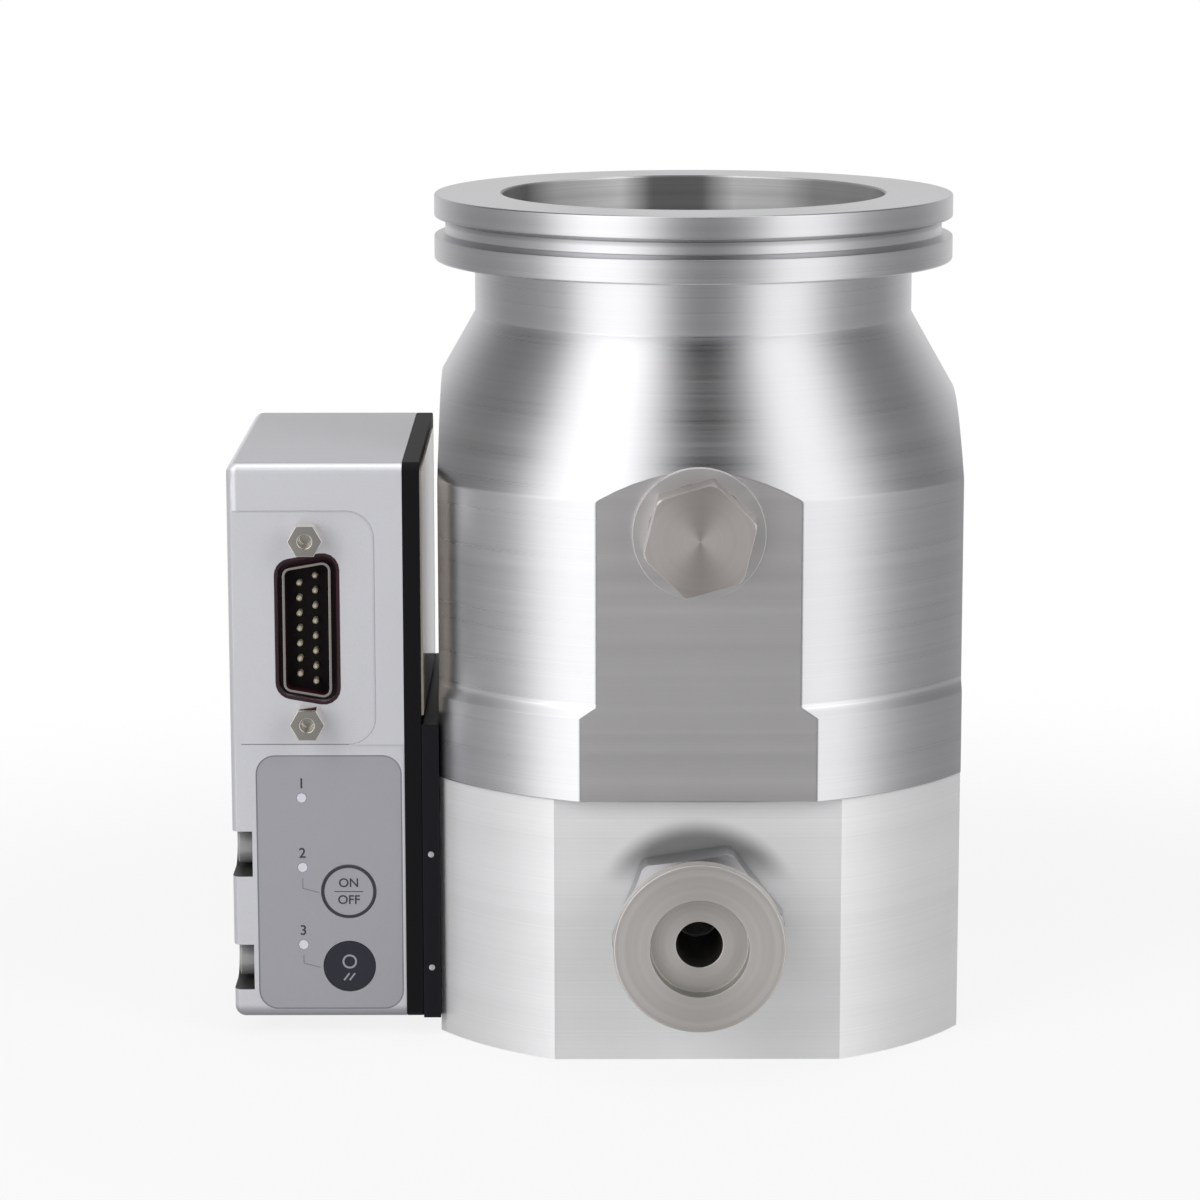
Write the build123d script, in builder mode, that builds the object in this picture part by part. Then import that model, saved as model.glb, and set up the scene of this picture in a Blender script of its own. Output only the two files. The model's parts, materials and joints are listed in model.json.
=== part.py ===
from build123d import *
import os
from math import cos, radians, sin, sqrt, tan

# Turbomolecular vacuum pump with an ISO-K 63 inlet, a KF 16 exhaust and a controller on its side.
# Millimetres. The origin is on the rotor axis at the underside of the base. +Z points up to the inlet,
# -Y to the exhaust and -X to the controller. Each block below makes one piece of the pump.

# ---- driving dimensions: pump body ----
pump_height = 150.0
joint_height = 47.6  # top of the base, underside of the casing
fit_clearance = 0.05  # radial room of a piece that is seated in a bore
screw_clearance = 0.25  # radial room round a screw's shank or head
thread_end_room = 1.0  # a blind hole is deeper than its screw by this much

# inlet flange, ISO-K size 63
flange_diameter = 95.0
flange_thickness = 12.0
inlet_bore = 70.0
flange_groove_width = 3.6
flange_groove_depth = 2.0
flange_upper_land = 4.0
flange_groove_flare = 0.7  # each side of the groove leans out by this much

# casing outside
neck_radius = 40.1
neck_length = 9.7
cone_length = 27.2
body_radius = 55.6
band_radius = 56.6
band_height = 15.0
band_bevel = 2.0
left_flat = 46.2  # distance of each machined flat from the axis
right_flat = 48.0
casing_front_flat = 52.6

# base
base_radius = 55.9
base_front_flat = 49.8
floor_top = 20.0  # bottom of the space that the exhaust drains
cover_radius = 28.0
cover_thickness = 4.0

# blade stack
stack_radius = 41.0  # bore of the casing and the base round the stators
stack_drop = 9.3  # top of the stack below the neck
stator_rim = 2.0
tip_gap = 0.6
axial_gap = 1.2
rotor_blade_heights = [9.0, 6.5, 5.0]
rotor_blade_counts = [18, 20, 20]
rotor_blade_angles = [40.0, 33.0, 27.0]
rotor_blade_thickness = 1.2
stator_blade_heights = [5.5, 4.5]
stator_blade_counts = [18, 20]
stator_blade_angles = [36.0, 30.0]
stator_blade_thickness = 1.0
blade_root_depth = 1.5  # how far a blade runs into its hub or rim
top_hub_radius = 20.0
lower_hub_radius = 30.5
rotor_nose = 1.0  # hub above the first blades

# drag stage
drag_rotor_radius = 36.5
drag_gap = 0.5
skirt_drop = 14.0  # collecting space below the rotor skirt
rotor_ceiling = 8.0  # end wall of the rotor above the motor column

# motor and bearings
column_radius = 24.0
column_wall = 3.5
column_running_gap = 2.5
column_end_gap = 3.0  # below the rotor's end wall
nut_space = 8.0  # from the cover to the lower bearing
bearing_outer_radius = 11.0
bearing_width = 7.0
bearing_gap = 0.05  # running fit of a journal in its bearing
journal_radius = 5.0
shaft_passage_radius = 7.5
bearing_seat_depth = 9.0
bearing_web = 4.0
shaft_radius = 6.5
magnet_radius = 8.4
motor_air_gap = 0.8
core_end_room = 6.0  # space for the end turns above and below the core
end_turn_height = 4.5
slot_count = 6
core_back_wall = 2.5
tooth_width = 5.0
slot_opening_radius = 11.0
winding_clearance = 0.2
rotor_screw_radius = 2.5
rotor_screw_head = 4.5
rotor_screw_head_height = 4.0
rotor_screw_length = 18.0
rotor_screw_socket = 5.0
rotor_screw_web = 4.0  # rotor material between the screw's head and the shaft
rotor_recess_radius = 9.0
rotor_recess_depth = 5.0
shaft_nut_width = 12.0
shaft_nut_height = 4.0
shaft_nut_radius = 4.0
shaft_end_gap = 1.5

# ports on the front
port_height = 25.0
port_flange_diameter = 30.0
port_flange_rim = 3.0
port_face = 67.0  # distance of the port's face from the axis
port_recess_diameter = 17.2
port_recess_depth = 3.0
port_bore = 8.1
port_tube_radius = 10.0
port_hex = 27.0
port_hex_length = 7.0
port_hex_turn = 8.5  # degrees that the hexagon is turned from corner-sideways
port_thread_radius = 8.0
port_thread_length = 6.0
plug_height = 95.6
plug_hex = 17.7
plug_turn = 14.0  # degrees that the hexagon is turned from corner-up
plug_face = 61.4
plug_collar_radius = 11.6
plug_collar_thickness = 1.6
plug_seal_radius = 9.0
plug_thread_radius = 6.0
plug_thread_length = 7.0
purge_bore = 3.0
port_seal_thickness = 0.8
port_seal_width = 2.0

# fasteners of the body
casing_screw_circle = 48.5
casing_screw_radius = 2.0
casing_screw_head = 3.5
casing_screw_head_height = 4.0
casing_screw_grip = 17.6  # base material that a casing screw clamps
casing_thread_depth = 9.0
cover_screw_circle = 24.4
cover_screw_radius = 1.5
cover_screw_head = 2.8
cover_screw_head_height = 1.8
cover_screw_length = 9.0
mount_hole_circle = 42.0
mount_hole_radius = 2.1
mount_hole_depth = 6.0
feedthrough_radius = 4.0
feedthrough_height = 11.0
lead_slot_width = 6.0  # slot in the carrier for the motor's leads
lead_slot_depth = 3.0

# ---- driving dimensions: controller ----
block_thickness = 3.1  # gap between the pump's flat and the controller
block_height = 54.5
plate_thickness = 3.1
pad_thickness = 0.4
pad_length = 52.0
pad_inset = 1.5
cover_width = 31.3
controller_front = -34.0
controller_depth = 65.0
controller_bottom = 3.0
lower_height = 50.9  # of the controller's part with the label, which stands back by lower_step
upper_height = 51.1  # of its part with the plug
cover_wall = 2.0
cover_edge = 2.0  # radius of its outer edges
lower_step = 0.3
recess_depth = 0.3  # of the area round the plug
recess_top_margin = 8.5
recess_right_margin = 5.0
recess_corner = 5.0
label_width = 26.3
label_top_margin = 2.0
label_margin = 0.5
label_bottom = 1.6
label_corner = 3.5
label_recess = 0.5
label_thickness = 0.4
label_rim = 3.0  # wall left behind the label's edge, round a window for the board
light_radius = 0.9  # to the corners of an eight-sided light pipe
light_inset = 18.6  # lights and keys are placed from the cover's open edge
light_heights = [41.0, 28.1, 13.7]
key_inset = 10.3
start_key_radius = 4.9
start_key_height = 23.6
reset_key_radius = 4.65
reset_key_height = 9.6
key_gap = 0.1
key_thickness = 0.9
key_travel = 0.4
key_stem_width = 3.6
switch_height = 0.5
switch_gap = 0.3  # left under a key that is pressed
display_board_gap = 1.0  # from the inside of the front wall to the board
display_post_size = 3.0
board_thickness = 1.2
board_edge_gap = 0.5
notch_width = 3.7
notch_radius = 4.2
notch_depth = 12.2
notch_heights = [30.6, 9.5]
notch_wall = 1.5
controller_screw_radius = 2.0
controller_screw_head = 3.4
controller_screw_head_length = 3.0
controller_thread_depth = 7.0  # how far the controller's screws reach into the base
sleeve_width = 6.0  # across the flats of the hexagonal sleeves round the screws
board_gap = 3.0  # between the plate and the circuit board
board_post_radius = 2.5
circuit_board_inset = 14.0

# 15-pin plug
dsub_inset = 17.1
dsub_rise = 21.1  # above the lower part
dsub_shell_length = 25.1
dsub_shell_width = 8.6
dsub_shell_wall = 0.4
dsub_shell_proud = 0.6
dsub_window_margin = 1.0
dsub_flange_length = 38.6
dsub_flange_width = 12.5
dsub_flange_thickness = 1.0
dsub_body_depth = 9.0
dsub_lip = 1.0  # the insulator is wider than the shell by this much
dsub_pitch = 2.76
dsub_row_gap = 2.84
dsub_pin_radius = 0.5
dsub_pin_recess = 1.4
dsub_lean = 10.0
dsub_corner = 1.5
jack_spacing = 33.3
jack_hex = 5.5
jack_length = 4.6
jack_hole_depth = 4.0
jack_thread_length = 3.6
jack_hole_radius = 1.25
jack_thread_radius = 1.4

# ---- derived levels of the pump ----
flange_bottom = pump_height - flange_thickness
neck_bottom = flange_bottom - neck_length
cone_bottom = neck_bottom - cone_length
band_top = joint_height + band_height
inlet_radius = inlet_bore / 2
flange_radius = flange_diameter / 2
stack_top = neck_bottom - stack_drop

rim_outer = stack_radius - fit_clearance
rim_inner = stack_radius - stator_rim
tip_radius = rim_inner - tip_gap

rotor_tops = []
stator_tops = []
level = stack_top
for stage, blade_height in enumerate(rotor_blade_heights):
    rotor_tops.append(level - axial_gap)
    level -= blade_height + 2 * axial_gap
    if stage < len(stator_blade_heights):
        stator_tops.append(level)
        level -= stator_blade_heights[stage]
drag_top = level

rotor_top = rotor_tops[0] + rotor_nose
skirt_bottom = floor_top + skirt_drop
rotor_cavity_radius = column_radius + column_running_gap
rotor_cavity_top = rotor_tops[1] - rotor_ceiling
column_top = rotor_cavity_top - column_end_gap
upper_bearing_bottom = column_top - bearing_seat_depth
motor_space_top = upper_bearing_bottom - bearing_web
lower_bearing_bottom = cover_thickness + nut_space
carrier_top = lower_bearing_bottom + bearing_seat_depth
core_bottom = carrier_top + core_end_room
core_top = motor_space_top - core_end_room
motor_space_radius = column_radius - column_wall
core_bore = magnet_radius + motor_air_gap
slot_bottom = motor_space_radius - lead_slot_depth

# ---- derived places of the controller ----
plate_right = -(left_flat + block_thickness)
plate_left = plate_right - plate_thickness
cover_left = plate_left - cover_width
controller_middle = controller_front + controller_depth / 2
controller_height = lower_height + upper_height
controller_top = controller_bottom + controller_height
label_height = lower_height - label_bottom - label_top_margin
display_board_height = label_height - label_rim
lower_face = controller_front + lower_step
label_back = lower_face + label_recess
label_front = label_back - label_thickness
wall_back = controller_front + cover_wall
board_front = wall_back + display_board_gap
screw_depth = controller_front + notch_depth - notch_radius
screw_places = [(screw_depth, controller_bottom + height) for height in notch_heights]
light_places = [(plate_left - light_inset, controller_bottom + height) for height in light_heights]
start_key_place = (plate_left - key_inset, controller_bottom + start_key_height)
reset_key_place = (plate_left - key_inset, controller_bottom + reset_key_height)
dsub_place = (plate_left - dsub_inset, controller_bottom + lower_height + dsub_rise)
controller_centre_height = controller_bottom + controller_height / 2
window_left = cover_left + notch_width + notch_wall + label_rim
window_right = plate_left - label_margin - label_rim
display_left = cover_left + notch_width + notch_wall + board_edge_gap
display_right = plate_left - board_edge_gap
display_bottom = controller_bottom + cover_wall + board_edge_gap
display_post_places = [
    (x, z)
    for x in (display_left + display_post_size / 2, display_right - display_post_size / 2)
    for z in (display_bottom + display_post_size / 2, display_bottom + display_board_height - display_post_size / 2)
]


def blade_planes(radius, height, count):
    """One plane for each blade of a row, facing outwards."""
    planes = []
    for index in range(count):
        turn = radians(360 * index / count)
        outward = (cos(turn), sin(turn), 0)
        start = (radius * cos(turn), radius * sin(turn), height)
        planes.append(Plane(origin=start, x_dir=(-sin(turn), cos(turn), 0), z_dir=outward))
    return planes


def blade_half_width(height, angle, thickness):
    """Half of a blade's width across its row, from its lean and its thickness."""
    return (height / tan(radians(angle)) + thickness / sin(radians(angle))) / 2


def blade_section(height, angle, thickness, side):
    """Corners of a slanted blade's section; side is 1 or -1, the way that it leans."""
    wide = blade_half_width(height, angle, thickness)
    narrow = wide - thickness / sin(radians(angle))
    corners = [(-wide, -height / 2), (-narrow, -height / 2), (wide, height / 2), (narrow, height / 2)]
    return [(side * x, y) for x, y in corners]


def d_outline(length, width):
    """Corners of an upright D-shaped plug, longer on its right side."""
    lean = width * tan(radians(dsub_lean))
    half = length / 2
    return [(width / 2, -half), (width / 2, half), (-width / 2, half - lean), (-width / 2, lean - half)]


os.makedirs("parts", exist_ok=True)

# ---- inlet casing ----
groove_top = pump_height - flange_upper_land
with BuildPart() as inlet_casing:
    with BuildSketch(Plane.XZ):
        with BuildLine():
            Polyline(
                (0, joint_height),
                (band_radius, joint_height),
                (band_radius, band_top),
                (body_radius, band_top + band_bevel),
                (body_radius, cone_bottom),
                (neck_radius, neck_bottom),
                (neck_radius, flange_bottom),
                (0, flange_bottom),
                close=True,
            )
        make_face()
    revolve(axis=Axis.Z)
    split(bisect_by=Plane.YZ.offset(-left_flat), keep=Keep.TOP)
    split(bisect_by=Plane.YZ.offset(right_flat), keep=Keep.BOTTOM)
    split(bisect_by=Plane.XZ.offset(casing_front_flat), keep=Keep.BOTTOM)
    with BuildSketch(Plane.XZ):
        with BuildLine():
            Polyline(
                (0, flange_bottom),
                (flange_radius, flange_bottom),
                (flange_radius, groove_top - flange_groove_width),
                (flange_radius - flange_groove_depth, groove_top - flange_groove_width + flange_groove_flare),
                (flange_radius - flange_groove_depth, groove_top - flange_groove_flare),
                (flange_radius, groove_top),
                (flange_radius, pump_height),
                (0, pump_height),
                close=True,
            )
        make_face()
    revolve(axis=Axis.Z)
    with BuildSketch(Plane.XY.offset(stack_top)):
        Circle(inlet_radius)
    extrude(amount=pump_height - stack_top, mode=Mode.SUBTRACT)
    with BuildSketch(Plane.XY.offset(joint_height)):
        Circle(stack_radius)
    extrude(amount=stack_top - joint_height, mode=Mode.SUBTRACT)
    with BuildSketch(Plane.XY.offset(joint_height)):
        with PolarLocations(casing_screw_circle, 4, start_angle=45):
            Circle(casing_screw_radius + fit_clearance)
    extrude(amount=casing_thread_depth + thread_end_room, mode=Mode.SUBTRACT)
    with BuildSketch(Plane.XZ.offset(casing_front_flat)):
        with Locations((0, plug_height)):
            Circle(plug_thread_radius + fit_clearance)
    extrude(amount=-(plug_thread_length + thread_end_room), mode=Mode.SUBTRACT)
    with BuildSketch(Plane.XZ.offset(casing_front_flat)):
        with Locations((0, plug_height)):
            Circle(purge_bore / 2)
    extrude(amount=-casing_front_flat + rim_inner, mode=Mode.SUBTRACT)

inlet_casing.part.label = "inlet_casing"
export_step(inlet_casing.part, "parts/inlet_casing.step")

# ---- base, with the column that holds the motor ----
with BuildPart() as base_housing:
    with BuildSketch(Plane.XY):
        Circle(base_radius)
    extrude(amount=joint_height)
    split(bisect_by=Plane.YZ.offset(-left_flat), keep=Keep.TOP)
    split(bisect_by=Plane.YZ.offset(right_flat), keep=Keep.BOTTOM)
    split(bisect_by=Plane.XZ.offset(base_front_flat), keep=Keep.BOTTOM)
    with BuildSketch(Plane.XY.offset(floor_top)):
        Circle(stack_radius)
    extrude(amount=joint_height - floor_top, mode=Mode.SUBTRACT)
    with BuildSketch(Plane.XY.offset(floor_top)):
        Circle(column_radius)
    extrude(amount=column_top - floor_top)
    with BuildSketch(Plane.XY):
        Circle(motor_space_radius)
    extrude(amount=motor_space_top, mode=Mode.SUBTRACT)
    with BuildSketch(Plane.XY):
        Circle(cover_radius)
    extrude(amount=cover_thickness, mode=Mode.SUBTRACT)
    with BuildSketch(Plane.XY.offset(motor_space_top)):
        Circle(shaft_passage_radius)
    extrude(amount=bearing_web, mode=Mode.SUBTRACT)
    with BuildSketch(Plane.XY.offset(upper_bearing_bottom)):
        Circle(bearing_outer_radius + fit_clearance)
    extrude(amount=bearing_seat_depth, mode=Mode.SUBTRACT)
    with BuildSketch(Plane.XZ.offset(base_front_flat)):
        with Locations((0, port_height)):
            Circle(port_thread_radius + fit_clearance)
    extrude(amount=-(port_thread_length + thread_end_room), mode=Mode.SUBTRACT)
    with BuildSketch(Plane.XZ.offset(base_front_flat)):
        with Locations((0, port_height)):
            Circle(port_bore / 2)
    extrude(amount=-base_front_flat + rim_inner, mode=Mode.SUBTRACT)
    with BuildSketch(Plane.XY):
        with PolarLocations(casing_screw_circle, 4, start_angle=45):
            Circle(casing_screw_head + screw_clearance)
    extrude(amount=joint_height - casing_screw_grip, mode=Mode.SUBTRACT)
    with BuildSketch(Plane.XY.offset(joint_height)):
        with PolarLocations(casing_screw_circle, 4, start_angle=45):
            Circle(casing_screw_radius + screw_clearance)
    extrude(amount=-casing_screw_grip, mode=Mode.SUBTRACT)
    with BuildSketch(Plane.XY):
        with PolarLocations(mount_hole_circle, 4):
            Circle(mount_hole_radius)
    extrude(amount=mount_hole_depth, mode=Mode.SUBTRACT)
    with BuildSketch(Plane.XY):
        with PolarLocations(cover_screw_circle, 3, start_angle=30):
            Circle(cover_screw_radius + fit_clearance)
    extrude(amount=cover_screw_length + thread_end_room, mode=Mode.SUBTRACT)
    with BuildSketch(Plane.YZ.offset(-left_flat)):
        with Locations((0, feedthrough_height)):
            Circle(feedthrough_radius + fit_clearance)
    extrude(amount=left_flat - slot_bottom, mode=Mode.SUBTRACT)
    with BuildSketch(Plane.YZ.offset(-left_flat)):
        with Locations(*screw_places):
            Circle(controller_screw_radius + fit_clearance)
    extrude(amount=controller_thread_depth + thread_end_room, mode=Mode.SUBTRACT)
base_housing.part.label = "base_housing"
export_step(base_housing.part, "parts/base_housing.step")

# ---- cover under the base ----
with BuildPart() as base_cover:
    with BuildSketch(Plane.XY):
        Circle(cover_radius - fit_clearance)
        with PolarLocations(cover_screw_circle, 3, start_angle=30):
            Circle(cover_screw_radius + screw_clearance, mode=Mode.SUBTRACT)
    extrude(amount=cover_thickness)
    with BuildSketch(Plane.XY):
        with PolarLocations(cover_screw_circle, 3, start_angle=30):
            Circle(cover_screw_head + screw_clearance)
    extrude(amount=cover_screw_head_height, mode=Mode.SUBTRACT)
base_cover.part.label = "base_cover"
export_step(base_cover.part, "parts/base_cover.step")

with BuildPart() as cover_screws:
    with BuildSketch(Plane.XY):
        with PolarLocations(cover_screw_circle, 3, start_angle=30):
            Circle(cover_screw_head)
    extrude(amount=cover_screw_head_height)
    with BuildSketch(Plane.XY):
        with PolarLocations(cover_screw_circle, 3, start_angle=30):
            Circle(cover_screw_radius)
    extrude(amount=cover_screw_length)
cover_screws.part.label = "cover_screws"
export_step(cover_screws.part, "parts/cover_screws.step")

# ---- screws that hold the casing down on the base ----
casing_screw_seat = joint_height - casing_screw_grip
with BuildPart() as casing_screws:
    with BuildSketch(Plane.XY.offset(casing_screw_seat)):
        with PolarLocations(casing_screw_circle, 4, start_angle=45):
            Circle(casing_screw_head)
    extrude(amount=-casing_screw_head_height)
    with BuildSketch(Plane.XY.offset(casing_screw_seat)):
        with PolarLocations(casing_screw_circle, 4, start_angle=45):
            Circle(casing_screw_radius)
    extrude(amount=casing_screw_grip + casing_thread_depth)
casing_screws.part.label = "casing_screws"
export_step(casing_screws.part, "parts/casing_screws.step")

# ---- stator rings: a spacer round one rotor row, with the stator blades of the row below ----
ring_top = stack_top
stator_inner_radii = [top_hub_radius + axial_gap, lower_hub_radius + axial_gap]
stator_rows = zip(stator_tops, stator_blade_heights, stator_blade_counts, stator_blade_angles, stator_inner_radii)
for number, (row_top, height, count, angle, inner_radius) in enumerate(stator_rows, start=1):
    ring_bottom = row_top - height
    half_width = blade_half_width(height, angle, stator_blade_thickness)
    reach = sqrt((rim_inner + blade_root_depth) ** 2 - half_width**2)
    with BuildPart() as stator_ring:
        with BuildSketch(Plane.XY.offset(ring_bottom)):
            Circle(rim_outer)
            Circle(rim_inner, mode=Mode.SUBTRACT)
        extrude(amount=ring_top - ring_bottom)
        with BuildSketch(*blade_planes(inner_radius, row_top - height / 2, count)):
            Polygon(*blade_section(height, angle, stator_blade_thickness, -1), align=None)
        extrude(amount=reach - inner_radius)
    stator_ring.part.label = f"stator_ring_{number}"
    export_step(stator_ring.part, f"parts/stator_ring_{number}.step")
    ring_top = ring_bottom

# ---- drag stator: surrounds the last rotor row and the skirt, and stands on a ledge of the base ----
with BuildPart() as drag_stator:
    with BuildSketch(Plane.XZ):
        with BuildLine():
            Polyline(
                (drag_rotor_radius + drag_gap, skirt_bottom),
                (rim_outer, skirt_bottom),
                (rim_outer, ring_top),
                (rim_inner, ring_top),
                (rim_inner, drag_top),
                (drag_rotor_radius + drag_gap, drag_top),
                close=True,
            )
        make_face()
    revolve(axis=Axis.Z)
drag_stator.part.label = "drag_stator"
export_step(drag_stator.part, "parts/drag_stator.step")

# ---- bladed rotor: three rows of slanted blades above a drag skirt ----
recess_floor = rotor_top - rotor_recess_depth
shaft_top = recess_floor - rotor_screw_web
hub_radii = [top_hub_radius, lower_hub_radius, lower_hub_radius]
rotor_rows = zip(rotor_tops, rotor_blade_heights, rotor_blade_counts, rotor_blade_angles, hub_radii)
with BuildPart() as rotor:
    with BuildSketch(Plane.XZ):
        with BuildLine():
            Polyline(
                (rotor_screw_radius + screw_clearance, shaft_top),
                (rotor_screw_radius + screw_clearance, recess_floor),
                (rotor_recess_radius, recess_floor),
                (rotor_recess_radius, rotor_top),
                (top_hub_radius, rotor_top),
                (top_hub_radius, rotor_tops[1]),
                (lower_hub_radius, rotor_tops[1]),
                (lower_hub_radius, drag_top),
                (drag_rotor_radius, drag_top),
                (drag_rotor_radius, skirt_bottom),
                (rotor_cavity_radius, skirt_bottom),
                (rotor_cavity_radius, rotor_cavity_top),
                (journal_radius, rotor_cavity_top),
                (journal_radius, shaft_top),
                close=True,
            )
        make_face()
    revolve(axis=Axis.Z)
    for row_top, height, count, angle, hub_radius in rotor_rows:
        root = hub_radius - blade_root_depth
        half_width = blade_half_width(height, angle, rotor_blade_thickness)
        reach = sqrt(tip_radius**2 - half_width**2)
        with BuildSketch(*blade_planes(root, row_top - height / 2, count)):
            Polygon(*blade_section(height, angle, rotor_blade_thickness, 1), align=None)
        extrude(amount=reach - root)
rotor.part.label = "rotor"
export_step(rotor.part, "parts/rotor.step")

# ---- shaft, with a journal for each bearing, the rotor's seat at the top and a thread below ----
shaft_bottom = cover_thickness + shaft_end_gap
journal_bottom = shaft_bottom + shaft_nut_height
upper_journal_top = upper_bearing_bottom + bearing_width
with BuildPart() as rotor_shaft:
    with BuildSketch(Plane.XZ):
        with BuildLine():
            Polyline(
                (0, shaft_bottom),
                (shaft_nut_radius, shaft_bottom),
                (shaft_nut_radius, journal_bottom),
                (journal_radius, journal_bottom),
                (journal_radius, lower_bearing_bottom + bearing_width),
                (shaft_radius, lower_bearing_bottom + bearing_width),
                (shaft_radius, upper_bearing_bottom),
                (journal_radius, upper_bearing_bottom),
                (journal_radius, upper_journal_top),
                (shaft_radius, upper_journal_top),
                (shaft_radius, rotor_cavity_top),
                (journal_radius, rotor_cavity_top),
                (journal_radius, shaft_top),
                (rotor_screw_radius, shaft_top),
                (rotor_screw_radius, recess_floor - rotor_screw_length - thread_end_room),
                (0, recess_floor - rotor_screw_length - thread_end_room),
                close=True,
            )
        make_face()
    revolve(axis=Axis.Z)
rotor_shaft.part.label = "rotor_shaft"
export_step(rotor_shaft.part, "parts/rotor_shaft.step")

with BuildPart() as rotor_screw:
    with BuildSketch(Plane.XY.offset(recess_floor)):
        Circle(rotor_screw_head)
    extrude(amount=rotor_screw_head_height)
    with BuildSketch(Plane.XY.offset(recess_floor + rotor_screw_head_height)):
        RegularPolygon(rotor_screw_socket / 2, 6, major_radius=False)
    extrude(amount=-rotor_screw_head_height / 2, mode=Mode.SUBTRACT)
    with BuildSketch(Plane.XY.offset(recess_floor)):
        Circle(rotor_screw_radius)
    extrude(amount=-rotor_screw_length)
rotor_screw.part.label = "rotor_screw"
export_step(rotor_screw.part, "parts/rotor_screw.step")

with BuildPart() as shaft_nut:
    with BuildSketch(Plane.XY.offset(shaft_bottom)):
        RegularPolygon(shaft_nut_width / 2, 6, major_radius=False)
        Circle(shaft_nut_radius, mode=Mode.SUBTRACT)
    extrude(amount=shaft_nut_height)
shaft_nut.part.label = "shaft_nut"
export_step(shaft_nut.part, "parts/shaft_nut.step")

# ---- motor: magnet sleeve on the shaft, slotted core and its windings in the column ----
with BuildPart() as motor_magnet:
    with BuildSketch(Plane.XY.offset(core_bottom)):
        Circle(magnet_radius)
        Circle(shaft_radius, mode=Mode.SUBTRACT)
    extrude(amount=core_top - core_bottom)
motor_magnet.part.label = "motor_magnet"
export_step(motor_magnet.part, "parts/motor_magnet.step")

core_radius = motor_space_radius - fit_clearance
slot_radius = core_radius - core_back_wall
with BuildPart() as motor_core:
    with BuildSketch(Plane.XY.offset(core_bottom)):
        Circle(core_radius)
        Circle(core_bore, mode=Mode.SUBTRACT)
    extrude(amount=core_top - core_bottom)
    with BuildSketch(Plane.XY.offset(core_bottom)):
        Circle(slot_radius)
        Circle(slot_opening_radius, mode=Mode.SUBTRACT)
        with PolarLocations(slot_radius / 2, slot_count):
            Rectangle(slot_radius, tooth_width, mode=Mode.SUBTRACT)
    extrude(amount=core_top - core_bottom, mode=Mode.SUBTRACT)
motor_core.part.label = "motor_core"
export_step(motor_core.part, "parts/motor_core.step")

winding_bottom = core_bottom - end_turn_height
winding_top = core_top + end_turn_height
with BuildPart() as motor_windings:
    with BuildSketch(Plane.XY.offset(winding_bottom)):
        Circle(slot_radius - winding_clearance)
        Circle(slot_opening_radius + winding_clearance, mode=Mode.SUBTRACT)
        with PolarLocations(slot_radius / 2, slot_count):
            Rectangle(slot_radius, tooth_width + 2 * winding_clearance, mode=Mode.SUBTRACT)
    extrude(amount=winding_top - winding_bottom)
    with BuildSketch(Plane.XY.offset(winding_bottom), Plane.XY.offset(core_top + winding_clearance)):
        Circle(slot_radius - winding_clearance)
        Circle(slot_opening_radius + winding_clearance, mode=Mode.SUBTRACT)
    extrude(amount=end_turn_height - winding_clearance)
motor_windings.part.label = "motor_windings"
export_step(motor_windings.part, "parts/motor_windings.step")

# ---- shielded ball bearings: the upper one in the column, the lower one in a carrier below the motor ----
bearing_bottoms = {"upper_bearing": upper_bearing_bottom, "lower_bearing": lower_bearing_bottom}
for bearing_name, bearing_bottom in bearing_bottoms.items():
    with BuildPart() as bearing:
        with BuildSketch(Plane.XY.offset(bearing_bottom)):
            Circle(bearing_outer_radius)
            Circle(journal_radius + bearing_gap, mode=Mode.SUBTRACT)
        extrude(amount=bearing_width)
    bearing.part.label = bearing_name
    export_step(bearing.part, f"parts/{bearing_name}.step")

with BuildPart() as bearing_carrier:
    with BuildSketch(Plane.XY.offset(cover_thickness)):
        Circle(motor_space_radius - fit_clearance)
        Circle(shaft_passage_radius, mode=Mode.SUBTRACT)
    extrude(amount=carrier_top - cover_thickness)
    with BuildSketch(Plane.XY.offset(lower_bearing_bottom)):
        Circle(bearing_outer_radius + fit_clearance)
    extrude(amount=bearing_seat_depth, mode=Mode.SUBTRACT)
    with BuildSketch(Plane.XY.offset(cover_thickness)):
        with Locations((-slot_bottom, 0)):
            Rectangle(2 * lead_slot_depth, lead_slot_width, align=(Align.MAX, Align.CENTER))
    extrude(amount=carrier_top - cover_thickness, mode=Mode.SUBTRACT)
bearing_carrier.part.label = "bearing_carrier"
export_step(bearing_carrier.part, "parts/bearing_carrier.step")

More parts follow.
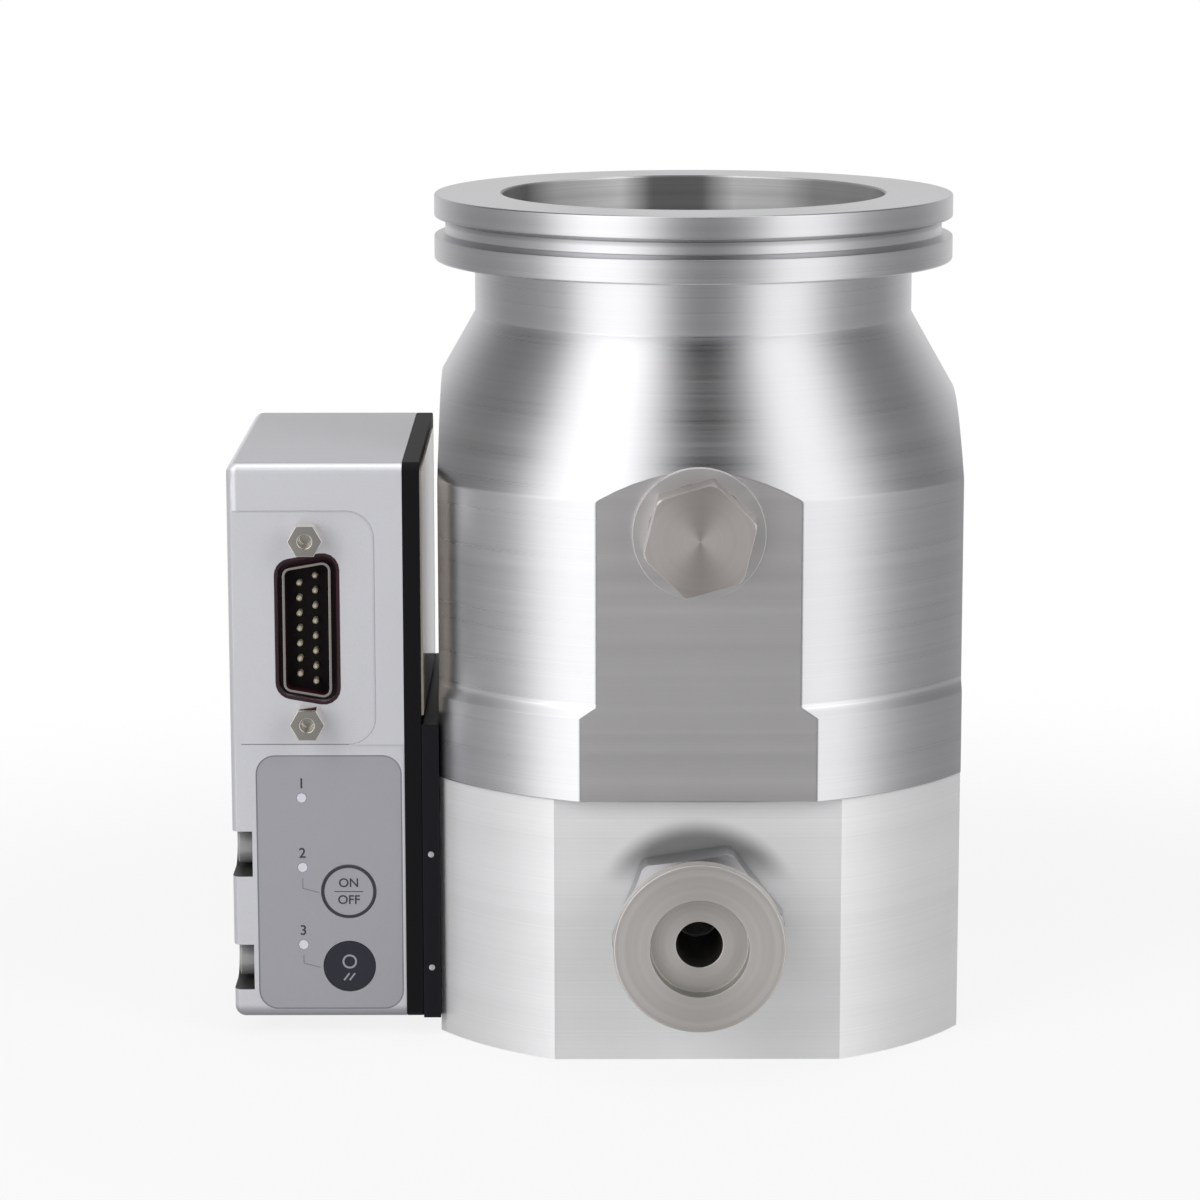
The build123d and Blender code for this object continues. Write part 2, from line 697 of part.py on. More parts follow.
# ---- exhaust port: KF 16 flange, tube, hexagon and thread ----
port_axis = Axis((0, 0, port_height), (0, 1, 0))
port_flange_radius = port_flange_diameter / 2
port_seat = base_front_flat + port_seal_thickness
port_cone_end = port_face - port_flange_rim - (port_flange_radius - port_tube_radius) * tan(radians(15))
with BuildPart() as exhaust_port:
    with BuildSketch(Plane.YZ):
        with BuildLine():
            Polyline(
                (-port_face, port_height),
                (-port_face, port_height + port_flange_radius),
                (-port_face + port_flange_rim, port_height + port_flange_radius),
                (-port_cone_end, port_height + port_tube_radius),
                (-port_seat, port_height + port_tube_radius),
                (-port_seat, port_height + port_thread_radius),
                (-base_front_flat + port_thread_length, port_height + port_thread_radius),
                (-base_front_flat + port_thread_length, port_height),
                close=True,
            )
        make_face()
    revolve(axis=port_axis)
    with BuildSketch(Plane.XZ.offset(port_seat)):
        with Locations((0, port_height)):
            RegularPolygon(port_hex / 2, 6, major_radius=False, rotation=port_hex_turn)
    extrude(amount=port_hex_length)
    with BuildSketch(Plane.XZ.offset(port_face)):
        with Locations((0, port_height)):
            Circle(port_recess_diameter / 2)
    extrude(amount=-port_recess_depth, mode=Mode.SUBTRACT)
    with BuildSketch(Plane.XZ.offset(port_face)):
        with Locations((0, port_height)):
            Circle(port_bore / 2)
    extrude(amount=-port_face, mode=Mode.SUBTRACT)
exhaust_port.part.label = "exhaust_port"
export_step(exhaust_port.part, "parts/exhaust_port.step")

with BuildPart() as exhaust_seal:
    with BuildSketch(Plane.XZ.offset(base_front_flat)):
        with Locations((0, port_height)):
            Circle(port_thread_radius + port_seal_width)
            Circle(port_thread_radius + fit_clearance, mode=Mode.SUBTRACT)
    extrude(amount=port_seal_thickness)
exhaust_seal.part.label = "exhaust_seal"
export_step(exhaust_seal.part, "parts/exhaust_seal.step")

# ---- plug of the purge port ----
plug_collar_face = casing_front_flat + plug_collar_thickness
with BuildPart() as port_plug:
    with BuildSketch(Plane.XZ.offset(casing_front_flat)):
        with Locations((0, plug_height)):
            Circle(plug_thread_radius)
    extrude(amount=-plug_thread_length)
    with BuildSketch(Plane.XZ.offset(casing_front_flat)):
        with Locations((0, plug_height)):
            Circle(plug_collar_radius)
            Circle(plug_seal_radius, mode=Mode.SUBTRACT)
            Circle(plug_thread_radius)
    extrude(amount=plug_collar_thickness)
    with BuildSketch(Plane.XZ.offset(plug_collar_face)):
        with Locations((0, plug_height)):
            RegularPolygon(plug_hex / 2, 6, major_radius=False, rotation=90 - plug_turn)
    extrude(amount=plug_face - plug_collar_face)
port_plug.part.label = "port_plug"
export_step(port_plug.part, "parts/port_plug.step")

with BuildPart() as plug_seal:
    with BuildSketch(Plane.XZ.offset(casing_front_flat)):
        with Locations((0, plug_height)):
            Circle(plug_seal_radius - fit_clearance)
            Circle(plug_thread_radius + fit_clearance, mode=Mode.SUBTRACT)
    extrude(amount=plug_collar_thickness)
plug_seal.part.label = "plug_seal"
export_step(plug_seal.part, "parts/plug_seal.step")

# ---- block between the pump's flat and the controller ----
with BuildPart() as mounting_block:
    with BuildSketch(Plane.YZ.offset(plate_right)):
        with Locations((controller_middle, controller_bottom + block_height / 2)):
            Rectangle(controller_depth, block_height)
        with Locations((0, feedthrough_height)):
            Circle(feedthrough_radius + fit_clearance, mode=Mode.SUBTRACT)
        with Locations(*screw_places):
            Circle(controller_screw_radius + screw_clearance, mode=Mode.SUBTRACT)
    extrude(amount=block_thickness)
mounting_block.part.label = "mounting_block"
export_step(mounting_block.part, "parts/mounting_block.step")

with BuildPart() as feedthrough:
    with BuildSketch(Plane.YZ.offset(plate_left - board_gap)):
        with Locations((0, feedthrough_height)):
            Circle(feedthrough_radius)
    extrude(amount=board_gap - plate_left - motor_space_radius)
feedthrough.part.label = "feedthrough"
export_step(feedthrough.part, "parts/feedthrough.step")

# ---- controller: plate and pad on the pump's side ----
with BuildPart() as controller_plate:
    with BuildSketch(Plane.YZ.offset(plate_left)):
        with Locations((controller_middle, controller_centre_height)):
            RectangleRounded(controller_depth, controller_height, cover_edge)
        with Locations((0, feedthrough_height)):
            Circle(feedthrough_radius + screw_clearance, mode=Mode.SUBTRACT)
        with Locations(*screw_places):
            Circle(controller_screw_radius + screw_clearance, mode=Mode.SUBTRACT)
    extrude(amount=plate_thickness)
controller_plate.part.label = "controller_plate"
export_step(controller_plate.part, "parts/controller_plate.step")

pad_bottom = controller_bottom + block_height + pad_inset
with BuildPart() as insulating_pad:
    with BuildSketch(Plane.YZ.offset(plate_right)):
        with Locations((controller_front + pad_inset, pad_bottom)):
            Rectangle(pad_length, controller_top - pad_inset - pad_bottom, align=Align.MIN)
    extrude(amount=pad_thickness)
insulating_pad.part.label = "insulating_pad"
export_step(insulating_pad.part, "parts/insulating_pad.step")

# ---- controller: cover, a shell open towards the plate ----
recess_bottom = controller_bottom + lower_height
recess_height = upper_height - recess_top_margin
recess_width = cover_width - recess_right_margin
with BuildPart() as controller_cover:
    with BuildSketch(Plane.YZ.offset(cover_left)):
        with Locations((controller_middle, controller_centre_height)):
            Rectangle(controller_depth, controller_height)
    extrude(amount=cover_width)
    open_side = controller_cover.faces().sort_by(Axis.X)[-1].edges()
    fillet(controller_cover.edges().filter_by(lambda edge: edge not in open_side), radius=cover_edge)
    with BuildSketch(Plane.YZ.offset(cover_left + cover_wall)):
        with Locations((controller_middle, controller_centre_height)):
            Rectangle(controller_depth - 2 * cover_wall, controller_height - 2 * cover_wall)
    extrude(amount=cover_width - cover_wall, mode=Mode.SUBTRACT)
    for screw_y, screw_z in screw_places:
        boss_depth = screw_y + notch_radius + notch_wall - wall_back
        with BuildSketch(Plane.YZ.offset(cover_left + cover_wall)):
            with Locations((wall_back, screw_z)):
                Rectangle(boss_depth, 2 * (notch_radius + notch_wall), align=(Align.MIN, Align.CENTER))
        extrude(amount=notch_width + notch_wall - cover_wall)
        with BuildSketch(Plane.YZ.offset(cover_left)):
            with Locations((screw_y, screw_z)):
                Circle(notch_radius)
                Rectangle(notch_depth, 2 * notch_radius, align=(Align.MAX, Align.CENTER))
        extrude(amount=notch_width, mode=Mode.SUBTRACT)
        with BuildSketch(Plane.YZ.offset(cover_left + notch_width)):
            with Locations((screw_y, screw_z)):
                Circle(controller_screw_radius + screw_clearance)
        extrude(amount=notch_wall, mode=Mode.SUBTRACT)
    with BuildSketch(Plane.XZ.offset(-controller_front)):
        with Locations((cover_left, controller_bottom)):
            Rectangle(cover_width, lower_height, align=Align.MIN)
    extrude(amount=-lower_step, mode=Mode.SUBTRACT)
    with BuildSketch(Plane.XZ.offset(-controller_front)):
        with Locations((cover_left + recess_width, recess_bottom)):
            RectangleRounded(2 * recess_width, recess_height, recess_corner, align=(Align.MAX, Align.MIN))
    extrude(amount=-recess_depth, mode=Mode.SUBTRACT)
    with BuildSketch(Plane.XZ.offset(-lower_face)):
        with Locations((plate_left - label_margin, controller_bottom + label_bottom)):
            RectangleRounded(label_width, label_height, label_corner, align=(Align.MAX, Align.MIN))
    extrude(amount=-label_recess, mode=Mode.SUBTRACT)
    with BuildSketch(Plane.XZ.offset(-controller_front)):
        with Locations((window_left, controller_bottom + label_bottom + label_rim)):
            Rectangle(window_right - window_left, label_height - 2 * label_rim, align=Align.MIN)
    extrude(amount=-cover_wall, mode=Mode.SUBTRACT)
    with BuildSketch(Plane.XZ.offset(-controller_front)) as window:
        with Locations(dsub_place):
            Polygon(*d_outline(dsub_shell_length, dsub_shell_width), align=None)
        offset(amount=dsub_window_margin, kind=Kind.ARC)
        with Locations(dsub_place):
            with GridLocations(0, jack_spacing, 1, 2):
                Circle(jack_thread_radius + key_gap)
    extrude(amount=-cover_wall, mode=Mode.SUBTRACT)
    with BuildSketch(Plane.XZ.offset(-wall_back)):
        with Locations(*display_post_places):
            Rectangle(display_post_size, display_post_size)
    extrude(amount=-display_board_gap)
controller_cover.part.label = "controller_cover"
export_step(controller_cover.part, "parts/controller_cover.step")

# ---- controller: screws that run through it into the block, and the sleeves round them ----
with BuildPart() as controller_screws:
    with BuildSketch(Plane.YZ.offset(cover_left + notch_width)):
        with Locations(*screw_places):
            Circle(controller_screw_head)
    extrude(amount=-controller_screw_head_length)
    with BuildSketch(Plane.YZ.offset(cover_left + notch_width)):
        with Locations(*screw_places):
            Circle(controller_screw_radius)
    extrude(amount=controller_thread_depth - left_flat - cover_left - notch_width)
controller_screws.part.label = "controller_screws"
export_step(controller_screws.part, "parts/controller_screws.step")

with BuildPart() as screw_sleeves:
    with BuildSketch(Plane.YZ.offset(cover_left + notch_width + notch_wall)):
        with Locations(*screw_places):
            RegularPolygon(sleeve_width / 2, 6, major_radius=False)
            Circle(controller_screw_radius + screw_clearance, mode=Mode.SUBTRACT)
    extrude(amount=cover_width - notch_width - notch_wall)
screw_sleeves.part.label = "screw_sleeves"
export_step(screw_sleeves.part, "parts/screw_sleeves.step")

# ---- controller: label, lights, keys and the small board behind them ----
with BuildPart() as label_panel:
    with BuildSketch(Plane.XZ.offset(-label_front)):
        with Locations((plate_left - label_margin, controller_bottom + label_bottom)):
            RectangleRounded(label_width, label_height, label_corner, align=(Align.MAX, Align.MIN))
        with Locations(start_key_place):
            Circle(start_key_radius + key_gap, mode=Mode.SUBTRACT)
        with Locations(reset_key_place):
            Circle(reset_key_radius + key_gap, mode=Mode.SUBTRACT)
        with Locations(*light_places):
            RegularPolygon(light_radius + fit_clearance, 8, mode=Mode.SUBTRACT)
    extrude(amount=-label_thickness)
label_panel.part.label = "label_panel"
export_step(label_panel.part, "parts/label_panel.step")

with BuildPart() as status_lights:
    with BuildSketch(Plane.XZ.offset(-label_front)):
        with Locations(*light_places):
            RegularPolygon(light_radius, 8)
    extrude(amount=label_front - board_front)
status_lights.part.label = "status_lights"
export_step(status_lights.part, "parts/status_lights.step")

keys = {
    "start_stop_button": (start_key_place, start_key_radius),
    "reset_button": (reset_key_place, reset_key_radius),
}
stem_length = board_front - switch_height - switch_gap - key_travel - label_front
for key_name, (key_place, key_radius) in keys.items():
    with BuildPart() as key:
        with BuildSketch(Plane.XZ.offset(-label_front)):
            with Locations(key_place):
                Circle(key_radius)
        extrude(amount=-key_thickness)
        with BuildSketch(Plane.XZ.offset(-label_front)):
            with Locations(key_place):
                Rectangle(key_stem_width, key_stem_width)
        extrude(amount=-stem_length)
    key.part.label = key_name
    export_step(key.part, f"parts/{key_name}.step")

with BuildPart() as display_board:
    with BuildSketch(Plane.XZ.offset(-board_front)):
        with Locations((display_left, display_bottom)):
            Rectangle(display_right - display_left, display_board_height, align=Align.MIN)
    extrude(amount=-board_thickness)
    with BuildSketch(Plane.XZ.offset(-board_front)):
        with Locations(start_key_place, reset_key_place):
            Rectangle(key_stem_width, key_stem_width)
    extrude(amount=switch_height)
display_board.part.label = "display_board"
export_step(display_board.part, "parts/display_board.step")

# ---- controller: main board on four posts ----
main_board_length = controller_depth - circuit_board_inset - cover_wall - 2 * board_edge_gap
main_board_height = controller_height - 2 * (cover_wall + board_edge_gap)
main_board_middle = controller_front + circuit_board_inset + main_board_length / 2
post_spacing = (main_board_length - 4 * board_post_radius, main_board_height - 8 * board_post_radius)
board_left = plate_left - board_gap - board_thickness
with BuildPart() as circuit_board:
    with BuildSketch(Plane.YZ.offset(board_left)):
        with Locations((main_board_middle, controller_centre_height)):
            Rectangle(main_board_length, main_board_height)
    extrude(amount=board_thickness)
circuit_board.part.label = "circuit_board"
export_step(circuit_board.part, "parts/circuit_board.step")

with BuildPart() as board_posts:
    with BuildSketch(Plane.YZ.offset(plate_left)):
        with Locations((main_board_middle, controller_centre_height)):
            with GridLocations(*post_spacing, 2, 2):
                RegularPolygon(board_post_radius, 6)
    extrude(amount=-board_gap)
board_posts.part.label = "board_posts"
export_step(board_posts.part, "parts/board_posts.step")

# ---- 15-pin plug in the cover's front ----
shell_front = controller_front - dsub_shell_proud
flange_back = wall_back + dsub_flange_thickness
with BuildPart() as dsub_shell:
    with BuildSketch(Plane.XZ.offset(-flange_back)):
        with Locations(dsub_place):
            Rectangle(dsub_flange_width, dsub_flange_length)
            with GridLocations(0, jack_spacing, 1, 2):
                Circle(jack_thread_radius + key_gap, mode=Mode.SUBTRACT)
    extrude(amount=dsub_flange_thickness)
    with BuildSketch(Plane.XZ.offset(-flange_back)) as tube:
        with Locations(dsub_place):
            Polygon(*d_outline(dsub_shell_length, dsub_shell_width), align=None)
        fillet(tube.vertices(), dsub_corner)
    extrude(amount=flange_back - shell_front)
    with BuildSketch(Plane.XZ.offset(-flange_back)) as cavity:
        with Locations(dsub_place):
            Polygon(*d_outline(dsub_shell_length, dsub_shell_width), align=None)
        fillet(cavity.vertices(), dsub_corner)
        offset(amount=-dsub_shell_wall)
    extrude(amount=flange_back - shell_front, mode=Mode.SUBTRACT)
dsub_shell.part.label = "dsub_shell"
export_step(dsub_shell.part, "parts/dsub_shell.step")

with BuildPart() as dsub_insulator:
    with BuildSketch(Plane.XZ.offset(-flange_back)):
        with Locations(dsub_place):
            Rectangle(dsub_shell_width + dsub_lip, dsub_shell_length + dsub_lip)
    extrude(amount=-dsub_body_depth)
dsub_insulator.part.label = "dsub_insulator"
export_step(dsub_insulator.part, "parts/dsub_insulator.step")

with BuildPart() as dsub_pins:
    with BuildSketch(Plane.XZ.offset(-flange_back)):
        with Locations(dsub_place):
            with Locations((dsub_row_gap / 2, 0)):
                with GridLocations(0, dsub_pitch, 1, 8):
                    RegularPolygon(dsub_pin_radius, 6)
            with Locations((-dsub_row_gap / 2, 0)):
                with GridLocations(0, dsub_pitch, 1, 7):
                    RegularPolygon(dsub_pin_radius, 6)
    extrude(amount=flange_back - shell_front - dsub_pin_recess)
dsub_pins.part.label = "dsub_pins"
export_step(dsub_pins.part, "parts/dsub_pins.step")

jack_seat = controller_front + recess_depth
with BuildPart() as jack_screws:
    with BuildSketch(Plane.XZ.offset(-jack_seat)):
        with Locations(dsub_place):
            with GridLocations(0, jack_spacing, 1, 2):
                RegularPolygon(jack_hex / 2, 6, major_radius=False)
    extrude(amount=jack_length)
    with BuildSketch(Plane.XZ.offset(-jack_seat + jack_length)):
        with Locations(dsub_place):
            with GridLocations(0, jack_spacing, 1, 2):
                Circle(jack_hole_radius)
    extrude(amount=-jack_hole_depth, mode=Mode.SUBTRACT)
    with BuildSketch(Plane.XZ.offset(-jack_seat)):
        with Locations(dsub_place):
            with GridLocations(0, jack_spacing, 1, 2):
                Circle(jack_thread_radius)
    extrude(amount=-jack_thread_length)
jack_screws.part.label = "jack_screws"
export_step(jack_screws.part, "parts/jack_screws.step")
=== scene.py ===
import json
import math

import bmesh
import bpy
from mathutils import Matrix, Vector


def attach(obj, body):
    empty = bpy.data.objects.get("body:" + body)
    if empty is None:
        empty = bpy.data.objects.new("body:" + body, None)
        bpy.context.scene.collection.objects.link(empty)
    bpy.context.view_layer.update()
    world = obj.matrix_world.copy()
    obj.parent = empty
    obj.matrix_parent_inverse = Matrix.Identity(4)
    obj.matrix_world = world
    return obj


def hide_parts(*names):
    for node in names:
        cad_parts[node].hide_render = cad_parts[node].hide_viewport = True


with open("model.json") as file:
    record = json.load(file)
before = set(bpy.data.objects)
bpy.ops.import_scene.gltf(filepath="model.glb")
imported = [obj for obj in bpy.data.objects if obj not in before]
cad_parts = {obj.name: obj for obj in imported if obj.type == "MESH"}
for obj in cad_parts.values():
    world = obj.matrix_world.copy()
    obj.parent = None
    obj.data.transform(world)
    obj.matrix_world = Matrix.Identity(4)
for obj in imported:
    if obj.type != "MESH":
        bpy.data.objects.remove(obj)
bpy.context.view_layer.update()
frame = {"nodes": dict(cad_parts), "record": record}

# Turbomolecular pump on a pale floor. Sizes in the dictionaries are millimetres, and mm turns them
# into Blender's metres. +Z runs up the rotor's axis, -Y is the front, -X is the controller's side.
nodes = frame["nodes"]
mm = 0.001
slack = 0.05  # millimetres either way, where faces are picked by their place
scene = bpy.context.scene
bodies = frame["record"]["behaviour"]["bodies"]
bodyOfNode = {nodeName: body for body, members in bodies.items() for nodeName in members}
print("frame loaded:", len(nodes), "nodes")


def newObject(name, data):
    made = bpy.data.objects.new(name, data)
    scene.collection.objects.link(made)
    return made


# camera, placed in metres
cameraSet = {"lens": 124.17, "sensor": 36.0, "place": (-0.0172, -0.7593, 0.2184), "tilt": 79.22,
             "roll": -0.07, "clip": 0.01}
cameraData = bpy.data.cameras.new("studioCamera")
cameraData.lens = cameraSet["lens"]
cameraData.sensor_width = cameraSet["sensor"]
cameraData.clip_start = cameraSet["clip"]
studioCamera = newObject("studioCamera", cameraData)
studioCamera.location = cameraSet["place"]
studioCamera.rotation_euler = (
    Matrix.Rotation(math.radians(cameraSet["tilt"]), 4, "X")
    @ Matrix.Rotation(math.radians(cameraSet["roll"]), 4, "Z")
).to_euler()
scene.camera = studioCamera
print("camera placed")


# node helpers
def addNode(tree, kind, inputs=None, **settings):
    # each input gets a link or a fixed value
    node = tree.nodes.new(kind)
    for key, value in settings.items():
        setattr(node, key, value)
    for key, value in (inputs or {}).items():
        socket = node.inputs[key]
        if isinstance(value, bpy.types.NodeSocket):
            tree.links.new(value, socket)
        else:
            socket.default_value = value
    return node


def maths(tree, operation, first, second=0.0, third=None):
    inputs = {0: first, 1: second}
    if third is not None:
        inputs[2] = third
    return addNode(tree, "ShaderNodeMath", inputs, operation=operation).outputs[0]


def product(tree, total, *others):
    for other in others:
        total = maths(tree, "MULTIPLY", total, other)
    return total


def swing(tree, value, amount, middle=1.0):
    # a noise round 0.5 becomes a factor round middle
    centred = maths(tree, "SUBTRACT", value, 0.5)
    return maths(tree, "MULTIPLY_ADD", centred, amount, middle)


def splitXyz(tree, vector):
    return addNode(tree, "ShaderNodeSeparateXYZ", {0: vector}).outputs


def joinXyz(tree, *values):
    return addNode(tree, "ShaderNodeCombineXYZ", dict(enumerate(values))).outputs[0]


def rampBetween(tree, value, start, end, form="SMOOTHSTEP"):
    # 0 at start and 1 at end
    inputs = {"Value": value, "From Min": start, "From Max": end}
    return addNode(tree, "ShaderNodeMapRange", inputs, interpolation_type=form).outputs[0]


def grey(value):
    return (value, value, value, 1.0)


def bandRamp(tree, angle, bands):
    # greys by angle: angle is in radians, and bands holds degrees from -180 to 180 with a grey
    share = maths(tree, "MULTIPLY_ADD", angle, 0.5 / math.pi, 0.5)
    ramp = addNode(tree, "ShaderNodeValToRGB", {0: share})
    marks = ramp.color_ramp.elements
    while len(marks) > 1:
        marks.remove(marks[-1])
    marks[0].position, marks[0].color = (bands[0][0] + 180) / 360, grey(bands[0][1])
    for turn, value in bands[1:]:
        marks.new((turn + 180) / 360).color = grey(value)
    return ramp.outputs[0]


def scaledBy(tree, colour, factor):
    inputs = {0: colour, "Scale": factor}
    return addNode(tree, "ShaderNodeVectorMath", inputs, operation="SCALE").outputs["Vector"]


def lengthOf(tree, vector):
    return addNode(tree, "ShaderNodeVectorMath", {0: vector}, operation="LENGTH").outputs["Value"]


def newGroup(name, inputs, outputs):
    # an input without a default takes a vector
    tree = bpy.data.node_groups.new(name, "ShaderNodeTree")
    for key, value in inputs.items():
        kind = "NodeSocketVector" if value is None else "NodeSocketFloat"
        socket = tree.interface.new_socket(key, in_out="INPUT", socket_type=kind)
        if value is not None:
            socket.default_value = value
    for key in outputs:
        tree.interface.new_socket(key, in_out="OUTPUT", socket_type="NodeSocketFloat")
    entry, leave = tree.nodes.new("NodeGroupInput"), tree.nodes.new("NodeGroupOutput")
    return tree, entry.outputs, leave.inputs


def makeTurnedLines():
    # machined lines along the turning axis: a fine set and a broad, soft set
    tree, given, result = newGroup(
        "turnedLines", {"Along": 0.0, "Fine": 4000.0, "Broad": 300.0, "Depth": 1.0},
        ("Height", "Shade"))
    sets = []
    for key, detail, rough in (("Fine", 3.0, 0.7), ("Broad", 2.0, 0.5)):
        along = maths(tree, "MULTIPLY", given["Along"], given[key])
        inputs = {"W": along, "Scale": 1.0, "Detail": detail, "Roughness": rough}
        noise = addNode(tree, "ShaderNodeTexNoise", inputs, noise_dimensions="1D")
        sets.append(noise.outputs["Fac"])
    fine, broad = sets
    tree.links.new(maths(tree, "MULTIPLY", fine, given["Depth"]), result["Height"])
    halfBroad = maths(tree, "MULTIPLY", broad, 0.5)
    tree.links.new(maths(tree, "MULTIPLY_ADD", fine, 0.5, halfBroad), result["Shade"])
    return tree


def makeClouds():
    # slow, low-contrast clouds in the colour of a surface
    tree, given, result = newGroup(
        "surfaceClouds", {"Vector": None, "Size": 40.0, "Amount": 0.1}, ("Shade",))
    inputs = {"Vector": given["Vector"], "Scale": given["Size"], "Detail": 4.0, "Roughness": 0.55}
    noise = addNode(tree, "ShaderNodeTexNoise", inputs)
    tree.links.new(swing(tree, noise.outputs["Fac"], given["Amount"]), result["Shade"])
    return tree


turnedLines = makeTurnedLines()
surfaceClouds = makeClouds()


# materials
def objectCoordinates(tree):
    return addNode(tree, "ShaderNodeTexCoord").outputs["Object"]


def startMaterial(name, roughness, metallic, fixed):
    material = bpy.data.materials.new(name)
    material.use_nodes = True
    tree = material.node_tree
    shader = tree.nodes["Principled BSDF"]
    shader.inputs["Roughness"].default_value = roughness
    shader.inputs["Metallic"].default_value = metallic
    for key, value in fixed.items():
        shader.inputs[key].default_value = value
    return material, tree, shader, objectCoordinates(tree)


def cloudShade(tree, coordinates, size, amount):
    inputs = {"Vector": coordinates, "Size": size, "Amount": amount}
    return addNode(tree, "ShaderNodeGroup", inputs, node_tree=surfaceClouds).outputs["Shade"]


def finishMaterial(tree, shader, colour, shades, bump, depth, height):
    tree.links.new(scaledBy(tree, colour, product(tree, *shades)), shader.inputs["Base Color"])
    inputs = {"Strength": bump, "Distance": depth * mm, "Height": height}
    bumped = addNode(tree, "ShaderNodeBump", inputs)
    tree.links.new(bumped.outputs["Normal"], shader.inputs["Normal"])


def alongAxis(tree, coordinates, form):
    # "z" runs up the pump, "turned" adds the distance from its axis, and a number is the height
    # of a front port whose own axis the lines follow
    parts = splitXyz(tree, coordinates)
    if form == "z":
        return parts["Z"]
    turned = form == "turned"
    other = parts["Y"] if turned else maths(tree, "SUBTRACT", parts["Z"], form * mm)
    radius = lengthOf(tree, joinXyz(tree, parts["X"], other))
    if turned:
        return maths(tree, "ADD", radius, parts["Z"])
    return maths(tree, "SUBTRACT", radius, parts["Y"])


metalSet = {"cloudSize": 40.0, "clouds": 0.1, "roughSwing": 0.12, "bump": 0.15, "bumpDepth": 0.02}


def machinedMetal(name, colour, roughness, form, fine=4000.0, broad=300.0, depth=0.6, contrast=0.12,
                  metallic=1.0):
    material, tree, shader, coordinates = startMaterial(name, roughness, metallic, {})
    inputs = {"Along": alongAxis(tree, coordinates, form), "Fine": fine, "Broad": broad,
              "Depth": depth}
    lines = addNode(tree, "ShaderNodeGroup", inputs, node_tree=turnedLines).outputs
    cloud = cloudShade(tree, coordinates, metalSet["cloudSize"], metalSet["clouds"])
    lineShade = swing(tree, lines["Shade"], contrast)
    rough = swing(tree, lines["Shade"], metalSet["roughSwing"], roughness)
    tree.links.new(rough, shader.inputs["Roughness"])
    finishMaterial(tree, shader, colour, (lineShade, cloud), metalSet["bump"],
                   metalSet["bumpDepth"], lines["Height"])
    return material


paintSet = {"cloudSize": 30.0, "clouds": 0.06, "speckSwing": 0.08, "bumpDepth": 0.05}


def grainedPaint(name, colour, roughness, metallic=0.0, grain=2500.0, bump=0.08, **fixed):
    material, tree, shader, coordinates = startMaterial(name, roughness, metallic, fixed)
    cloud = cloudShade(tree, coordinates, paintSet["cloudSize"], paintSet["clouds"])
    inputs = {"Vector": coordinates, "Scale": grain, "Detail": 2.0}
    speck = addNode(tree, "ShaderNodeTexNoise", inputs).outputs["Fac"]
    speckShade = swing(tree, speck, paintSet["speckSwing"])
    finishMaterial(tree, shader, colour, (speckShade, cloud), bump, paintSet["bumpDepth"], speck)
    return material


def shadeBase(material, shadeOf):
    # paints light and shade into the base colour: multiplies what feeds it by a value worked out
    # from the object's coordinates
    tree = material.node_tree
    socket = tree.nodes["Principled BSDF"].inputs["Base Color"]
    shade = shadeOf(tree, splitXyz(tree, objectCoordinates(tree)))
    tree.links.new(scaledBy(tree, socket.links[0].from_socket, shade), socket)


def fanShade(height, amount, narrow):
    # painted sheen: a faced end is darkened above and below its centre, so that it looks lit in two
    # fans, left and right of its centre
    def shadeOf(tree, parts):
        up = maths(tree, "SUBTRACT", parts["Z"], height * mm)
        turn = maths(tree, "ARCTAN2", up, parts["X"])
        upright = maths(tree, "ABSOLUTE", maths(tree, "SINE", turn))
        return maths(tree, "MULTIPLY_ADD", maths(tree, "POWER", upright, narrow), -amount, 1.0)
    return shadeOf


def heightBands(*bands):
    # painted highlights and shades: soft lines round the piece, each a height, half width, and how
    # much lighter or darker
    def shadeOf(tree, parts):
        factors = []
        for height, half, gain in bands:
            away = maths(tree, "ABSOLUTE", maths(tree, "SUBTRACT", parts["Z"], height * mm))
            near = rampBetween(tree, away, half * mm, half * mm * 0.4)
            factors.append(maths(tree, "MULTIPLY_ADD", near, gain, 1.0))
        return product(tree, *factors)
    return shadeOf


def crescentShade(facts):
    # painted shade: a soft dark crescent on the front flat, over the seat of a port, standing in
    # for the port's shadow and reflection
    def shadeOf(tree, parts):
        up = maths(tree, "SUBTRACT", parts["Z"], facts["height"] * mm)
        radius = lengthOf(tree, joinXyz(tree, parts["X"], up))
        near = rampBetween(tree, radius, facts["outer"] * mm, facts["inner"] * mm)
        above = rampBetween(tree, up, facts["rise"][0] * mm, facts["rise"][1] * mm)
        front = rampBetween(tree, parts["Y"], facts["front"][0] * mm, facts["front"][1] * mm,
                            "LINEAR")
        dark = product(tree, near, above, front)
        return maths(tree, "MULTIPLY_ADD", dark, -facts["amount"], 1.0)
    return shadeOf


def turnShade(*bands):
    # painted light and shade: lighter and darker bands by the angle round the pump's axis, in
    # degrees
    def shadeOf(tree, parts):
        return bandRamp(tree, maths(tree, "ARCTAN2", parts["Y"], parts["X"]), bands)
    return shadeOf


